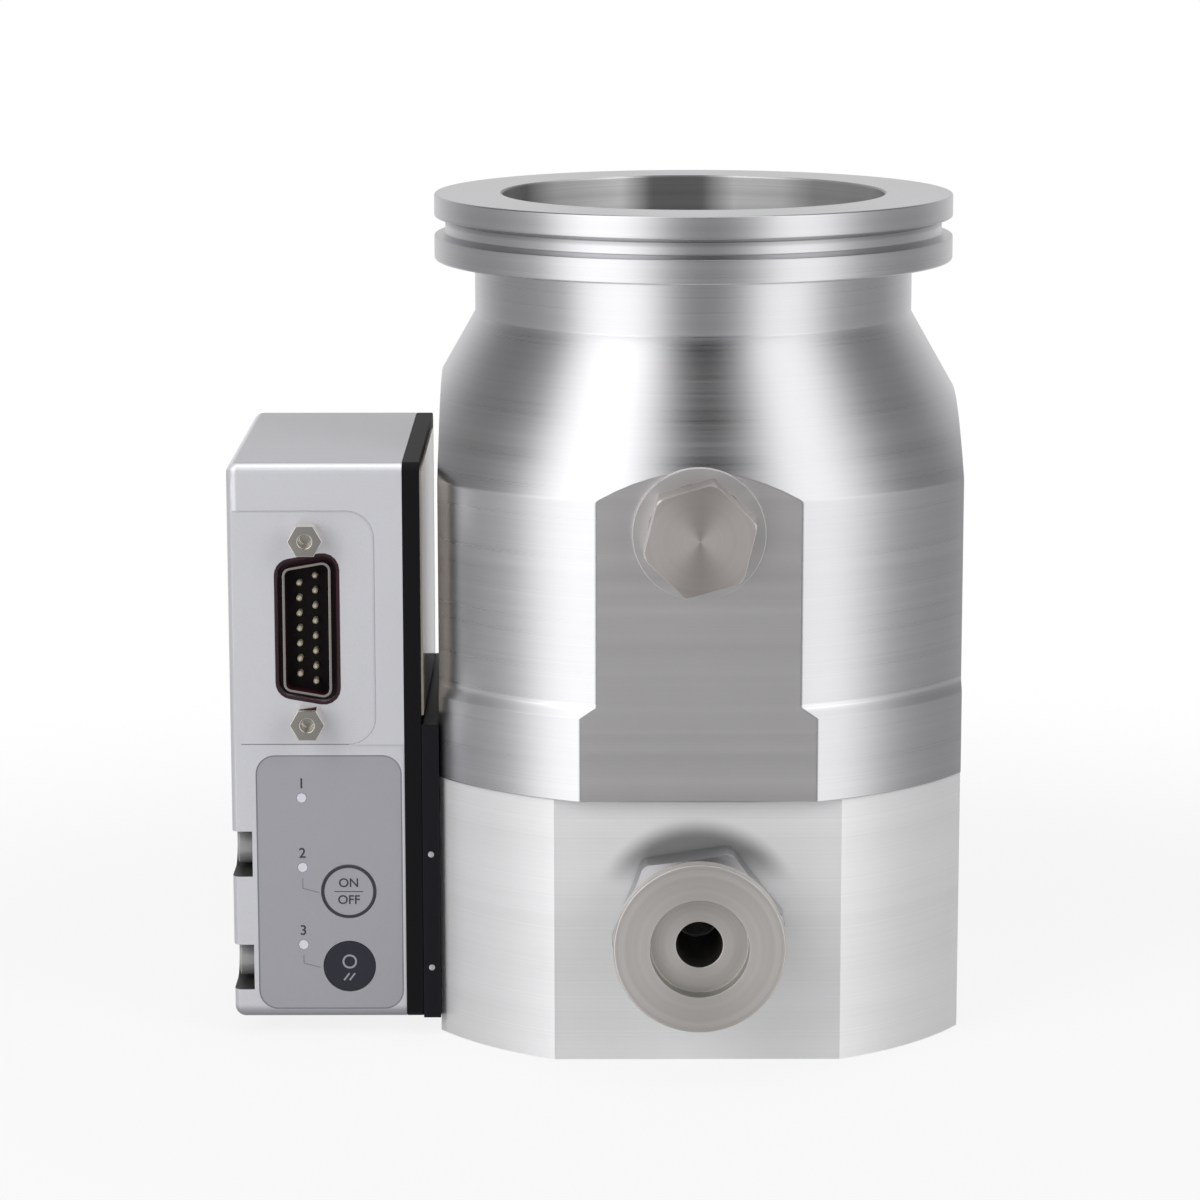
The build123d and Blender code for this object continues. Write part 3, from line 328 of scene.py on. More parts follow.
seatPaintedShade = {"height": 25.0, "inner": 15.5, "outer": 19.8, "rise": (6.0, 13.5),
             "front": (-47.0, -49.0), "amount": 0.70}
portHeight, purgeHeight = 25.0, 95.6
turnedAluminium = machinedMetal("turnedAluminium", (0.82, 0.82, 0.84), 0.29, "turned", fine=3000.0,
                                broad=500.0, depth=0.03, contrast=0.20)
# painted shade on the flange's top and in its groove under the lip, and a painted highlight over a
# painted shade at the step above the band
shadeBase(turnedAluminium, heightBands((150.0, 0.25, -0.17), (145.35, 1.1, -0.30),
                                       (142.75, 0.6, -0.20), (64.75, 0.6, 0.20),
                                       (63.3, 1.0, -0.10)))
boreAluminium = machinedMetal("boreAluminium", (0.95, 0.95, 0.96), 0.32, "z", fine=3000.0,
                              broad=500.0, contrast=0.5, metallic=0.35)
# painted reflections: lighter and darker bands round the bore wall by angle
shadeBase(boreAluminium, turnShade((-180, 0.2), (0, 0.3), (20, 0.4), (48, 0.42), (60, 0.75),
                                   (76, 0.8), (86, 0.2), (102, 0.2), (112, 0.95), (136, 0.75),
                                   (152, 0.2), (180, 0.2)))
milledAluminium = machinedMetal("milledAluminium", (0.80, 0.785, 0.79), 0.42, "z", fine=5000.0,
                                contrast=0.16)
baseAluminium = machinedMetal("baseAluminium", (0.98, 0.98, 0.99), 0.36, "z", fine=3000.0,
                              broad=140.0, contrast=0.26, metallic=0.40)
# painted shade over the exhaust port's seat
shadeBase(baseAluminium, crescentShade(seatPaintedShade))
# painted light: the front flat of the base is lighter than its sides
shadeBase(baseAluminium, turnShade((-180, 0.92), (-119, 0.92), (-115, 1.0), (-65, 1.0),
                                   (-61, 0.94), (180, 0.92)))
rotorAluminium = machinedMetal("rotorAluminium", (0.66, 0.66, 0.67), 0.38, "turned", contrast=0.1)
portSteel = machinedMetal("portSteel", (0.745, 0.71, 0.68), 0.42, portHeight, fine=5000.0,
                          broad=900.0, contrast=0.25, metallic=0.8)
portShadow = machinedMetal("portShadow", (0.40, 0.40, 0.37), 0.4, portHeight, fine=5000.0,
                           broad=900.0, contrast=0.2)
# a darker copy of the port's steel: painted shade for the hexagon and the tube behind the rim
hexagonShadedSteel = machinedMetal("hexagonShadedSteel", (0.46, 0.455, 0.465), 0.34, portHeight, fine=5000.0,
                             broad=900.0, contrast=0.2)
plugSteel = machinedMetal("plugSteel", (0.74, 0.685, 0.66), 0.38, purgeHeight, fine=5000.0,
                          broad=900.0, contrast=0.2, metallic=0.85)
# painted sheen on the faced ends of the plug and the port
shadeBase(plugSteel, fanShade(purgeHeight, 0.35, 4.0))
shadeBase(portSteel, fanShade(portHeight, 0.16, 3.0))
screwSteel = machinedMetal("screwSteel", (0.55, 0.55, 0.55), 0.3, "z", contrast=0.1)
notchSteel = machinedMetal("notchSteel", (0.56, 0.56, 0.56), 0.35, "z", contrast=0.1, metallic=0.5)
nickelPlate = machinedMetal("nickelPlate", (0.93, 0.89, 0.83), 0.14, "z", contrast=0.05)
pinGold = machinedMetal("pinGold", (0.80, 0.72, 0.55), 0.3, "z", contrast=0.05, metallic=0.6)
coverPaint = grainedPaint("coverPaint", (0.75, 0.755, 0.795), 0.34, metallic=0.4)
# painted shade along the cover's bottom edge and on its top face, and a painted highlight along its
# top edges
shadeBase(coverPaint, heightBands((3.0, 2.6, -0.50), (104.3, 0.75, 0.25), (105.05, 0.3, -0.28)))
notchShadow = grainedPaint("notchShadow", (0.05, 0.05, 0.05), 0.5)
plugWine = grainedPaint("plugWine", (0.030, 0.006, 0.012), 0.45)
labelFilm = grainedPaint("labelFilm", (0.335, 0.335, 0.365), 0.5, grain=4000.0, bump=0.04)
plateBlack = grainedPaint("plateBlack", (0.005, 0.005, 0.006), 0.55,
                          **{"Specular IOR Level": 0.15})
blockBlack = grainedPaint("blockBlack", (0.005, 0.005, 0.008), 0.5, **{"Specular IOR Level": 0.25})
padSheet = grainedPaint("padSheet", (0.62, 0.56, 0.49), 0.12, bump=0.02,
                        **{"Specular IOR Level": 0.9})
lightLens = grainedPaint("lightLens", (0.66, 0.66, 0.73), 0.4)
printDark = grainedPaint("printDark", (0.035, 0.035, 0.05), 0.5)
printGrey = grainedPaint("printGrey", (0.20, 0.20, 0.23), 0.5)
printLight = grainedPaint("printLight", (0.30, 0.31, 0.34), 0.5)
resetFilm = grainedPaint("resetFilm", (0.018, 0.020, 0.030), 0.42)
connectorBlack = grainedPaint("connectorBlack", (0.006, 0.004, 0.004), 0.6,
                              **{"Specular IOR Level": 0.2})
sealRubber = grainedPaint("sealRubber", (0.02, 0.02, 0.02), 0.6)
boardGreen = grainedPaint("boardGreen", (0.03, 0.12, 0.06), 0.45)
copperWire = grainedPaint("copperWire", (0.55, 0.23, 0.10), 0.35, metallic=0.8)
magnetDark = grainedPaint("magnetDark", (0.08, 0.08, 0.085), 0.4, metallic=0.7)
print("materials made")


# mesh helpers
def evaluatedMesh(thing):
    graph = bpy.context.evaluated_depsgraph_get()
    return bpy.data.meshes.new_from_object(thing.evaluated_get(graph))


def bakeModifiers(thing):
    baked = evaluatedMesh(thing)
    thing.modifiers.clear()
    thing.data = baked


def dress(thing, material, node):
    # the piece takes over a node of the frame, with its body
    thing.data.materials.clear()
    thing.data.materials.append(material)
    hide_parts(node)
    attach(thing, bodyOfNode.get(node, "root"))


def finishEdges(thing, bevel, sharp=28.0):
    # edges bent by more than sharp degrees are eased, and the rest is shaded soft
    if bevel:
        eased = thing.modifiers.new("easedEdges", "BEVEL")
        eased.width = bevel * mm
        eased.segments = 2
        eased.limit_method = "ANGLE"
        eased.angle_limit = math.radians(sharp)
        eased.use_clamp_overlap = True
        bakeModifiers(thing)
    thing.data.shade_smooth()
    thing.data.set_sharp_from_angle(angle=math.radians(sharp + 4.0))
    weighted = thing.modifiers.new("weightedNormals", "WEIGHTED_NORMAL")
    weighted.keep_sharp = True
    weighted.weight = 60
    bakeModifiers(thing)


def smoothCopy(node, name, bevel, sharp):
    # a merged copy of a node's triangles, with soft shading and, where asked, eased edges
    mesh = nodes[node].data.copy()
    mesh.name = name
    work = bmesh.new()
    work.from_mesh(mesh)
    bmesh.ops.remove_doubles(work, verts=work.verts, dist=1e-6)
    bmesh.ops.dissolve_limit(work, angle_limit=math.radians(0.5), verts=work.verts,
                             edges=work.edges)
    work.to_mesh(mesh)
    work.free()
    mesh.shade_smooth()
    copied = newObject(name, mesh)
    finishEdges(copied, bevel, sharp)
    return copied


def copyPieces(facts):
    # facts holds, for each node: name, bevel, sharpest soft edge, material and slot
    for nodeName, (name, bevel, sharp, material, slot) in facts.items():
        dress(smoothCopy(nodeName, name, bevel, sharp), material, nodeName)


def meshFrom(name, build):
    mesh = bpy.data.meshes.new(name)
    work = bmesh.new()
    build(work)
    bmesh.ops.recalc_face_normals(work, faces=work.faces)
    work.to_mesh(mesh)
    work.free()
    return mesh


def boxMesh(low, high, name="cutter"):
    def build(work):
        bmesh.ops.create_cube(work, size=1.0)
        for vertex in work.verts:
            spot = [(low[i] + high[i]) / 2 + vertex.co[i] * (high[i] - low[i]) for i in range(3)]
            vertex.co = Vector(spot) * mm
    return meshFrom(name, build)


def stitchRings(work, rings, closed):
    # rings of spots joined into one skin, with a face on both ends of an open run
    rows = [[work.verts.new(Vector(spot) * mm) for spot in ring] for ring in rings]
    for number in range(len(rows) if closed else len(rows) - 1):
        here, following = rows[number], rows[(number + 1) % len(rows)]
        for index in range(len(here)):
            after = (index + 1) % len(here)
            work.faces.new((here[index], here[after], following[after], following[index]))
    if not closed:
        work.faces.new(rows[0][::-1])
        work.faces.new(rows[-1])


def prismRings(outline, start, end, axis):
    # the outline holds x and z for a prism along Y, y and z along X, x and y along Z
    place = {"Y": lambda a, b, depth: (a, depth, b), "X": lambda a, b, depth: (depth, a, b),
             "Z": lambda a, b, depth: (a, b, depth)}[axis]
    return [[place(a, b, depth) for a, b in outline] for depth in (start, end)]


def prismMesh(outline, start, end, axis, name="cutter"):
    return meshFrom(name, lambda work: stitchRings(work, prismRings(outline, start, end, axis),
                                                   False))


def arcPoints(centre, radius, start, end, count):
    # both ends are included, and the angles are degrees
    turns = [math.radians(start + (end - start) * step / count) for step in range(count + 1)]
    return [(centre[0] + radius * math.cos(t), centre[1] + radius * math.sin(t)) for t in turns]


def roundedOutline(low, high, radius, count=8):
    right, top, left, bottom = high[0] - radius, high[1] - radius, low[0] + radius, low[1] + radius
    points = []
    for centre, start in (((right, top), 0), ((left, top), 90), ((left, bottom), 180),
                          ((right, bottom), 270)):
        points += arcPoints(centre, radius, start, start + 90, count)
    return points


def combine(thing, mesh, operation="DIFFERENCE"):
    cutter = newObject("cutter", mesh)
    modifier = thing.modifiers.new("cut", "BOOLEAN")
    modifier.operation = operation
    modifier.solver = "EXACT"
    modifier.object = cutter
    bakeModifiers(thing)
    bpy.data.objects.remove(cutter)


def drill(thing, centre, radius, start, end, axis, count=24):
    combine(thing, prismMesh(arcPoints(centre, radius, 0, 360, count)[:-1], start, end, axis))


def profileBands(corners, steps=3):
    # Turned body: a closed profile of (radius, height, rounding, kind) swept round an axis and cut
    # by flats. kind belongs to the run that starts at the corner: "wall" is cut by the flats,
    # "end" is a face that stops at them, and "" stays round.
    count = len(corners)
    points = []
    for index, (radius, height, rounding, kind) in enumerate(corners):
        here = Vector((radius, height))
        inward = (here - Vector(corners[index - 1][:2])).normalized()
        onward = (Vector(corners[(index + 1) % count][:2]) - here).normalized()
        turn = math.atan2(inward.x * onward.y - inward.y * onward.x, inward.dot(onward))
        inNormal, outNormal = Vector((inward.y, -inward.x)), Vector((onward.y, -onward.x))
        if rounding <= 0 or abs(turn) < 1e-3:
            points.append([(here, 0.0, inNormal), (here, 0.0, outNormal)])
            continue
        reach = rounding * math.tan(abs(turn) / 2)
        start, end = here - inward * reach, here + onward * reach
        side = math.copysign(rounding, turn)
        centre = start - inNormal * side
        atEdge = {kind, corners[index - 1][3]} == {"wall", "end"}
        bow = []
        for step in range(steps + 1):
            normal = Matrix.Rotation(turn * step / steps, 2) @ inNormal
            place = centre + normal * side
            bow.append((place, radius - place.x if atEdge else 0.0, normal))
        bow[-1] = (end, bow[-1][1], outNormal)
        points.append(bow)
    bands = []
    for index, bow in enumerate(points):
        kind, kindBefore = corners[index][3], corners[index - 1][3]
        atEdge = {kind, kindBefore} == {"wall", "end"}
        arcKind = kind if kind == kindBefore else "end" if atEdge else ""
        for first, second in zip(bow, bow[1:]):
            if (first[0] - second[0]).length > 1e-7:
                bands.append((first, second, arcKind))
        first, second = bow[-1], points[(index + 1) % count][0]
        if (first[0] - second[0]).length > 1e-7:
            bands.append((first, (second[0], second[1], first[2]), kind))
    return bands


def flatEdges(radius, turn, reach, half, ease):
    # three spots on each edge of a flat: on the flat, on the eased corner and on the round
    outward = (math.cos(turn), math.sin(turn))
    across = (-outward[1], outward[0])
    if half == 0.0:
        spot = (radius * outward[0], radius * outward[1], 0, outward, outward)
        return {-1: [spot] * 3, 1: [spot] * 3}
    edges = {}
    width = radius * math.sin(half)
    for side in (-1, 1):
        flatSpot = [reach * outward[i] + side * (width - ease) * across[i] for i in (0, 1)]
        cornerSpot = [reach * outward[i] + side * width * across[i] for i in (0, 1)]
        arcTurn = turn + side * (half + ease / radius)
        arcNormal = (math.cos(arcTurn), math.sin(arcTurn))
        arcSpot = [radius * arcNormal[i] for i in (0, 1)]
        middle = [0.25 * flatSpot[i] + 0.5 * cornerSpot[i] + 0.25 * arcSpot[i] for i in (0, 1)]
        edges[side] = [(*flatSpot, 1, outward, arcNormal), (*middle, 2, outward, arcNormal),
                       (*arcSpot, 0, outward, arcNormal)]
    return edges


def ringColumns(radius, inset, flats, angles, easing):
    # the spots of one ring: x, y, place (0 round, 1 flat, 2 corner), the flat's and the round's
    # outward direction
    if not flats:
        directions = [(math.cos(angle), math.sin(angle)) for angle in angles]
        return [(radius * across, radius * along, 0, None, (across, along))
                for across, along in directions]
    sides = []
    for turn, distance in flats:
        reach = distance - inset
        half = math.acos(reach / radius) if radius > reach else 0.0
        ease = min(easing, 0.4 * radius * math.sin(half))
        sides.append((math.radians(turn), reach, half, ease))
    columns = []
    for index, (turn, reach, half, ease) in enumerate(sides):
        edges = flatEdges(radius, turn, reach, half, ease)
        after = sides[(index + 1) % len(sides)]
        nextTurn = after[0] + (2 * math.pi if after[0] <= turn else 0.0)
        low = turn + half + ease / radius if radius else turn
        high = nextTurn - after[2] - (after[3] / radius if radius else 0.0)
        if low > high:
            low = high = (low + high) / 2
        columns += edges[-1][::-1] + edges[1]
        run = []
        for angle in angles:
            while angle < turn:
                angle += 2 * math.pi
            while angle >= turn + 2 * math.pi:
                angle -= 2 * math.pi
            if turn < angle < nextTurn:
                run.append(angle)
        for angle in sorted(run):
            held = min(max(angle, low), high)
            normal = (math.cos(held), math.sin(held))
            columns.append((radius * normal[0], radius * normal[1], 0, None, normal))
    return columns


def cornerNormal(column, profileNormal, kind):
    normalR, normalZ = profileNormal
    roundNormal = Vector((column[4][0] * normalR, column[4][1] * normalR, normalZ))
    if column[2] == 0 or kind == "":
        return roundNormal
    flatNormal = Vector((column[3][0], column[3][1], 0.0))
    if kind != "wall":
        flatNormal = Vector((column[3][0] * normalR, column[3][1] * normalR, normalZ))
    return flatNormal if column[2] == 1 else (flatNormal + roundNormal).normalized()


def splitBand(first, second, kind, extra):
    # a wall is parted where its radius passes one of the extra radii
    stops = [0.0, 1.0]
    low, high = sorted((first[0].x, second[0].x))
    if kind == "wall" and high - low > 1e-6:
        stops += [(value - first[0].x) / (second[0].x - first[0].x)
                  for value in extra if low < value < high]
    ends = [(first[0].lerp(second[0], share), first[1] + (second[1] - first[1]) * share,
             first[2] if share < 1 else second[2]) for share in sorted(stops)]
    return [(begin, finish, kind) for begin, finish in zip(ends, ends[1:])]


def turnedBody(name, corners, flats, columns, easing, place=None, extra=()):
    angles = [2 * math.pi * (i + 0.5) / columns for i in range(columns)]
    pool, spots, faces, normals = {}, [], [], []
    flatList = sorted(flats)

    def spotIndex(spot):
        key = tuple(round(value, 5) for value in spot)
        if key not in pool:
            pool[key] = len(spots)
            spots.append(spot)
        return pool[key]

    def ringOf(spot, inset, normal, kind):
        # a round run keeps the same columns, with every flat out of reach
        reachable = flatList if kind else [(t, max(d, spot.x + 1.0)) for t, d in flatList]
        ring = ringColumns(max(spot.x, 0.0), inset if kind else 0.0, reachable, angles, easing)
        return [(spotIndex((c[0], c[1], spot.y)), cornerNormal(c, normal, kind)) for c in ring]

    parted = [part for band in profileBands(corners) for part in splitBand(*band, extra)]
    for first, second, kind in parted:
        lower, upper = ringOf(*first, kind), ringOf(*second, kind)
        for index in range(len(lower)):
            after = (index + 1) % len(lower)
            kept = []
            for entry in (lower[index], lower[after], upper[after], upper[index]):
                if not kept or entry[0] != kept[-1][0]:
                    kept.append(entry)
            if len(kept) > 1 and kept[0][0] == kept[-1][0]:
                kept.pop()
            if len({entry[0] for entry in kept}) < 3:
                continue
            faces.append([entry[0] for entry in kept])
            normals += [entry[1] for entry in kept]
    if place:
        origin = Vector(place((0.0, 0.0, 0.0)))
        spots = [place(spot) for spot in spots]
        normals = [Vector(place(normal)) - origin for normal in normals]
    mesh = bpy.data.meshes.new(name)
    mesh.from_pydata([Vector(spot) * mm for spot in spots], [], faces)
    mesh.shade_smooth()
    mesh.normals_split_custom_set([normal.normalized() for normal in normals])
    return newObject(name, mesh)


def frontPlace(height):
    return lambda spot: (spot[0], -spot[2], spot[1] + height)


# inlet casing; coneStops are the radii where the flats' edges bend most on the cone
casingSet = {
    "joint": 47.6, "band": (56.6, 62.6), "body": (55.6, 64.6), "coneFoot": 101.1,
    "neck": (40.1, 128.3), "flange": (47.5, 138.0, 150.0), "bore": 35.0,
    "groove": (45.5, 142.4, 143.1, 145.3, 146.0), "stack": (41.0, 119.0),
    "flats": [(0.0, 48.0), (180.0, 46.2), (270.0, 52.6)], "easing": 0.25, "columns": 216,
    "coneSteps": (0.0, 0.06, 0.17, 0.36, 0.7, 1.2, 1.9, 2.7),
}
band, body, neck, flange, groove, stack = (
    casingSet[key] for key in ("band", "body", "neck", "flange", "groove", "stack"))
casingCorners = [
    (stack[0], casingSet["joint"], 0.0, "end"),
    (band[0], casingSet["joint"], 0.3, "wall"),
    (band[0], band[1], 0.3, "wall"),
    (body[0], body[1], 0.4, "wall"),
    (body[0], casingSet["coneFoot"], 1.5, "wall"),
    (neck[0], neck[1], 1.0, ""),
    (neck[0], flange[1], 0.5, ""),
    (flange[0], flange[1], 0.5, ""),
    (flange[0], groove[1], 0.25, ""),
    (groove[0], groove[2], 0.3, ""),
    (groove[0], groove[3], 0.3, ""),
    (flange[0], groove[4], 0.25, ""),
    (flange[0], flange[2], 0.4, ""),
    (casingSet["bore"], flange[2], 0.4, ""),
    (casingSet["bore"], stack[1], 0.0, ""),
    (stack[0], stack[1], 0.0, ""),
]
coneStops = [distance + step for turn, distance in casingSet["flats"]
             for step in casingSet["coneSteps"]]
casing = turnedBody("inletCasing", casingCorners, casingSet["flats"], casingSet["columns"],
                    casingSet["easing"], extra=coneStops)
for material in (turnedAluminium, milledAluminium, boreAluminium):
    casing.data.materials.append(material)
for polygon in casing.data.polygons:
    centre, normal = polygon.center / mm, polygon.normal
    if math.hypot(centre.x, centre.y) < casingSet["bore"] + 0.5 and centre.z > stack[1]:
        polygon.material_index = 2
    for turn, distance in casingSet["flats"]:
        outward = Vector((math.cos(math.radians(turn)), math.sin(math.radians(turn)), 0.0))
        if normal.dot(outward) > 0.9999 and abs(centre.dot(outward) - distance) < slack:
            polygon.material_index = 1
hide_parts("inlet_casing")
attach(casing, "root")
print("casing made:", len(casing.data.polygons), "faces")


# base; a hole row is its circle's radius, the hole's radius and depth, the first angle and sides
baseSet = {
    "radius": 55.9, "height": 47.6, "flats": [(0.0, 48.0), (180.0, 46.2), (270.0, 49.8)],
    "bevel": 0.3, "sharp": 14.0, "columns": 180,
    "screwHoles": (48.5, 3.75, 30.0, 45, 32), "mountHoles": (42.0, 2.1, 6.0, 0, 24),
    "exhaust": ((8.05, 42.8), (4.05, 38.5)), "beyond": 60.0,
}
baseRadius, baseHeight = baseSet["radius"], baseSet["height"]
baseCorners = [
    (28.0, 0.0, 0.0, "end"), (baseRadius, 0.0, 0.0, "wall"), (baseRadius, baseHeight, 0.0, "end"),
    (41.0, baseHeight, 0.0, ""), (41.0, 20.0, 0.0, ""), (24.0, 20.0, 0.0, ""),
    (24.0, 89.9, 0.0, ""), (11.05, 89.9, 0.0, ""), (11.05, 80.9, 0.0, ""), (7.5, 80.9, 0.0, ""),
    (7.5, 76.9, 0.0, ""), (20.5, 76.9, 0.0, ""), (20.5, 4.0, 0.0, ""), (28.0, 4.0, 0.0, ""),
]
base = turnedBody("baseHousing", baseCorners, baseSet["flats"], baseSet["columns"], 0.0)
for key in ("screwHoles", "mountHoles"):
    circle, radius, depth, firstTurn, sideCount = baseSet[key]
    for turn in range(firstTurn, firstTurn + 360, 90):
        spot = (circle * math.cos(math.radians(turn)), circle * math.sin(math.radians(turn)))
        drill(base, spot, radius, -1.0, depth, "Z", sideCount)
for radius, end in baseSet["exhaust"]:
    drill(base, (0.0, portHeight), radius, -baseSet["beyond"], -end, "Y", 32)
finishEdges(base, baseSet["bevel"], baseSet["sharp"])
dress(base, baseAluminium, "base_housing")
print("base made:", len(base.data.polygons), "faces")


# exhaust port: radii and distances from the pump's axis; the hexagon is given by its flats, its
# corners, its back and its front
portSet = {"bore": 4.05, "recess": (8.6, 64.0), "rim": (15.0, 64.0, 67.0), "tube": (10.0, 62.66),
           "hexagon": (13.5, 15.25, 50.6, 57.6), "thread": (8.0, 43.8), "turn": 8.5,
           "chamfer": 0.9, "columns": 96, "easing": 0.2,
           "stops": (13.55, 13.65, 13.8, 14.05, 14.4, 14.8)}
bore, recess, rim, tube, hexagon, thread = (
    portSet[key] for key in ("bore", "recess", "rim", "tube", "hexagon", "thread"))
portCorners = [
    (bore, thread[1], 0.0, ""),
    (thread[0], thread[1], 0.3, ""),
    (thread[0], hexagon[2], 0.0, "end"),
    (hexagon[1], hexagon[2], 0.25, "wall"),
    (hexagon[1], hexagon[3] - portSet["chamfer"], 0.2, "wall"),
    (hexagon[0] - 0.1, hexagon[3], 0.0, ""),
    (tube[0], hexagon[3], 0.2, ""),
    (tube[0], tube[1], 0.3, ""),
    (rim[0], rim[1], 0.25, ""),
    (rim[0], rim[2], 0.35, ""),
    (recess[0], rim[2], 0.15, ""),
    (recess[0], recess[1], 0.15, ""),
    (bore, recess[1], 0.2, ""),
]
portFlats = [((portSet["turn"] + 30 + 60 * i) % 360, hexagon[0]) for i in range(6)]
port = turnedBody("exhaustPort", portCorners, portFlats, portSet["columns"], portSet["easing"],
                  frontPlace(portHeight), portSet["stops"])
dress(port, portSteel, "exhaust_port")
port.data.materials.append(portShadow)
port.data.materials.append(hexagonShadedSteel)
for polygon in port.data.polygons:
    centre = polygon.center / mm
    up = centre.z - portHeight
    radius = math.hypot(centre.x, up)
    outward = (polygon.normal.x * centre.x + polygon.normal.z * up) / max(radius, 0.01)
    if outward < -0.7 and radius < recess[0] + slack:
        polygon.material_index = 1  # painted shadow: the recess wall and the bore take a darker steel for the shadow of a narrow hole
    elif radius > tube[0] - 0.5 and centre.y > -rim[1] + 0.1:
        polygon.material_index = 2  # painted shade: the hexagon and the tube behind the rim take the darker steel

# plug of the purge port, from its hidden stem to the head; the hexagon is given by its flats, its
# corners and its front
plugSet = {"stem": (6.0, 45.6), "seat": 52.6, "relief": (9.0, 54.1), "collar": (11.6, 54.2),
           "hexagon": (8.85, 10.1, 61.4), "root": 8.0, "turn": 14.0, "columns": 96,
           "easing": 0.15, "stops": (8.9, 9.0, 9.15, 9.4, 9.7)}
stem, seat, relief, collar, head = (
    plugSet[key] for key in ("stem", "seat", "relief", "collar", "hexagon"))
plugCorners = [
    (0.0, stem[1], 0.0, ""),
    (stem[0], stem[1], 0.3, ""),
    (stem[0], seat, 0.0, ""),
    (stem[0], relief[1], 0.0, ""),
    (relief[0], relief[1], 0.0, ""),
    (relief[0], seat, 0.0, ""),
    (collar[0], seat, 0.0, ""),
    (collar[0], collar[1], 0.1, ""),
    (plugSet["root"], collar[1], 0.0, ""),
    (plugSet["root"], collar[1] - 0.2, 0.0, "end"),
    (head[1], collar[1] - 0.2, 0.0, "wall"),
    (head[1], head[2] - 0.25, 0.1, "wall"),
    (head[1] - 0.35, head[2], 0.15, "end"),
    (0.0, head[2], 0.0, ""),
]
plugFlats = [((90 - plugSet["turn"] + 30 + 60 * i) % 360, head[0]) for i in range(6)]
plug = turnedBody("purgePlug", plugCorners, plugFlats, plugSet["columns"], plugSet["easing"],
                  frontPlace(purgeHeight), plugSet["stops"])
dress(plug, plugSteel, "port_plug")
plug.data.materials.append(milledAluminium)
for polygon in plug.data.polygons:
    centre = polygon.center / mm
    wide = math.hypot(centre.x, centre.z - purgeHeight) > head[1] + slack
    if centre.y > -collar[1] - 3 * slack and (centre.y < -collar[1] + slack or wide):
        polygon.material_index = 1  # the collar
print("ports made")


# controller cover; notch: depth from the side, radius, how far back, heights
coverSet = {
    "low": (-83.7, -34.0, 3.0), "high": (-52.4, 31.0, 105.0), "edge": 2.0, "wall": 2.0,
    "step": 0.3, "lowerTop": 53.9, "recess": (-57.4, 96.5, 5.0, 0.3),
    "label": (-79.2, -52.9, 4.6, 51.9, 3.5, 0.5), "notch": (3.7, 4.2, -26.0, (33.6, 12.5)),
    "notchWall": 1.5, "bevel": 0.16, "plug": (-69.5, 75.0, 25.1, 8.6, 10.0, 1.0),
    "jack": (33.3, 1.5), "screwHole": 2.25, "window": ((-75.5, 7.6), (-55.9, 48.9)),
    "posts": (3.0, 1.0, (-76.5, -54.4), (7.0, 48.3)),
}
low, high, wall = coverSet["low"], coverSet["high"], coverSet["wall"]
coverMesh = boxMesh(low, high, "controllerCover")
work = bmesh.new()
work.from_mesh(coverMesh)
openSide = (high[0] - 0.01) * mm
edges = [e for e in work.edges if not all(vertex.co.x > openSide for vertex in e.verts)]
bmesh.ops.bevel(work, geom=edges, offset=coverSet["edge"] * mm, segments=8, profile=0.5,
                affect="EDGES")
work.to_mesh(coverMesh)
work.free()
cover = newObject("controllerCover", coverMesh)
combine(cover, boxMesh([value + wall for value in low], (high[0] + 5, high[1] - wall,
                                                         high[2] - wall)))
notchWidth, notchRadius, notchBack, notchHeights = coverSet["notch"]
notchWall = coverSet["notchWall"]
for height in notchHeights:
    reach = notchRadius + notchWall
    bossLow = (low[0] + wall / 2, low[1] + wall / 2, height - reach)
    bossHigh = (low[0] + notchWidth + notchWall, notchBack + reach, height + reach)
    combine(cover, boxMesh(bossLow, bossHigh), "UNION")
    outline = arcPoints((notchBack, height), notchRadius, -90, 90, 18)
    outline += [(low[1] - 2, height + notchRadius), (low[1] - 2, height - notchRadius)]
    combine(cover, prismMesh(outline, low[0] - 2, low[0] + notchWidth, "X"))
combine(cover, boxMesh([value - 1 for value in low],
                       (high[0] + 1, low[1] + coverSet["step"], coverSet["lowerTop"])))
recessRight, recessTop, recessCorner, recessDepth = coverSet["recess"]
recessOutline = roundedOutline((low[0] - 20, coverSet["lowerTop"]), (recessRight, recessTop),
                               recessCorner)
combine(cover, prismMesh(recessOutline, low[1] - 1, low[1] + recessDepth, "Y"))
labelLeft, labelRight, labelBottom, labelTop, labelCorner, labelDepth = coverSet["label"]
labelOutline = roundedOutline((labelLeft, labelBottom), (labelRight, labelTop), labelCorner)
combine(cover, prismMesh(labelOutline, low[1] - 1, low[1] + coverSet["step"] + labelDepth, "Y"))
windowLow, windowHigh = coverSet["window"]
combine(cover, boxMesh((windowLow[0], low[1] - 1, windowLow[1]),
                       (windowHigh[0], low[1] + wall + 0.5, windowHigh[1])))
plugX, plugZ, plugLength, plugWidth, plugLean, plugMargin = coverSet["plug"]
jackSpacing, jackHole = coverSet["jack"]
for height in (plugZ - jackSpacing / 2, plugZ + jackSpacing / 2):
    drill(cover, (plugX, height), jackHole, low[1] - 1, low[1] + wall + 1, "Y")
for height in notchHeights:
    drill(cover, (notchBack, height), coverSet["screwHole"], low[0] + notchWidth - 0.5,
          low[0] + notchWidth + notchWall + 0.5, "X")
postSize, postLength, postAcross, postHeights = coverSet["posts"]
for across in postAcross:
    for height in postHeights:
        half = postSize / 2
        postHigh = (across + half, low[1] + wall + postLength, height + half)
        combine(cover, boxMesh((across - half, low[1] + wall - 0.5, height - half), postHigh),
                "UNION")


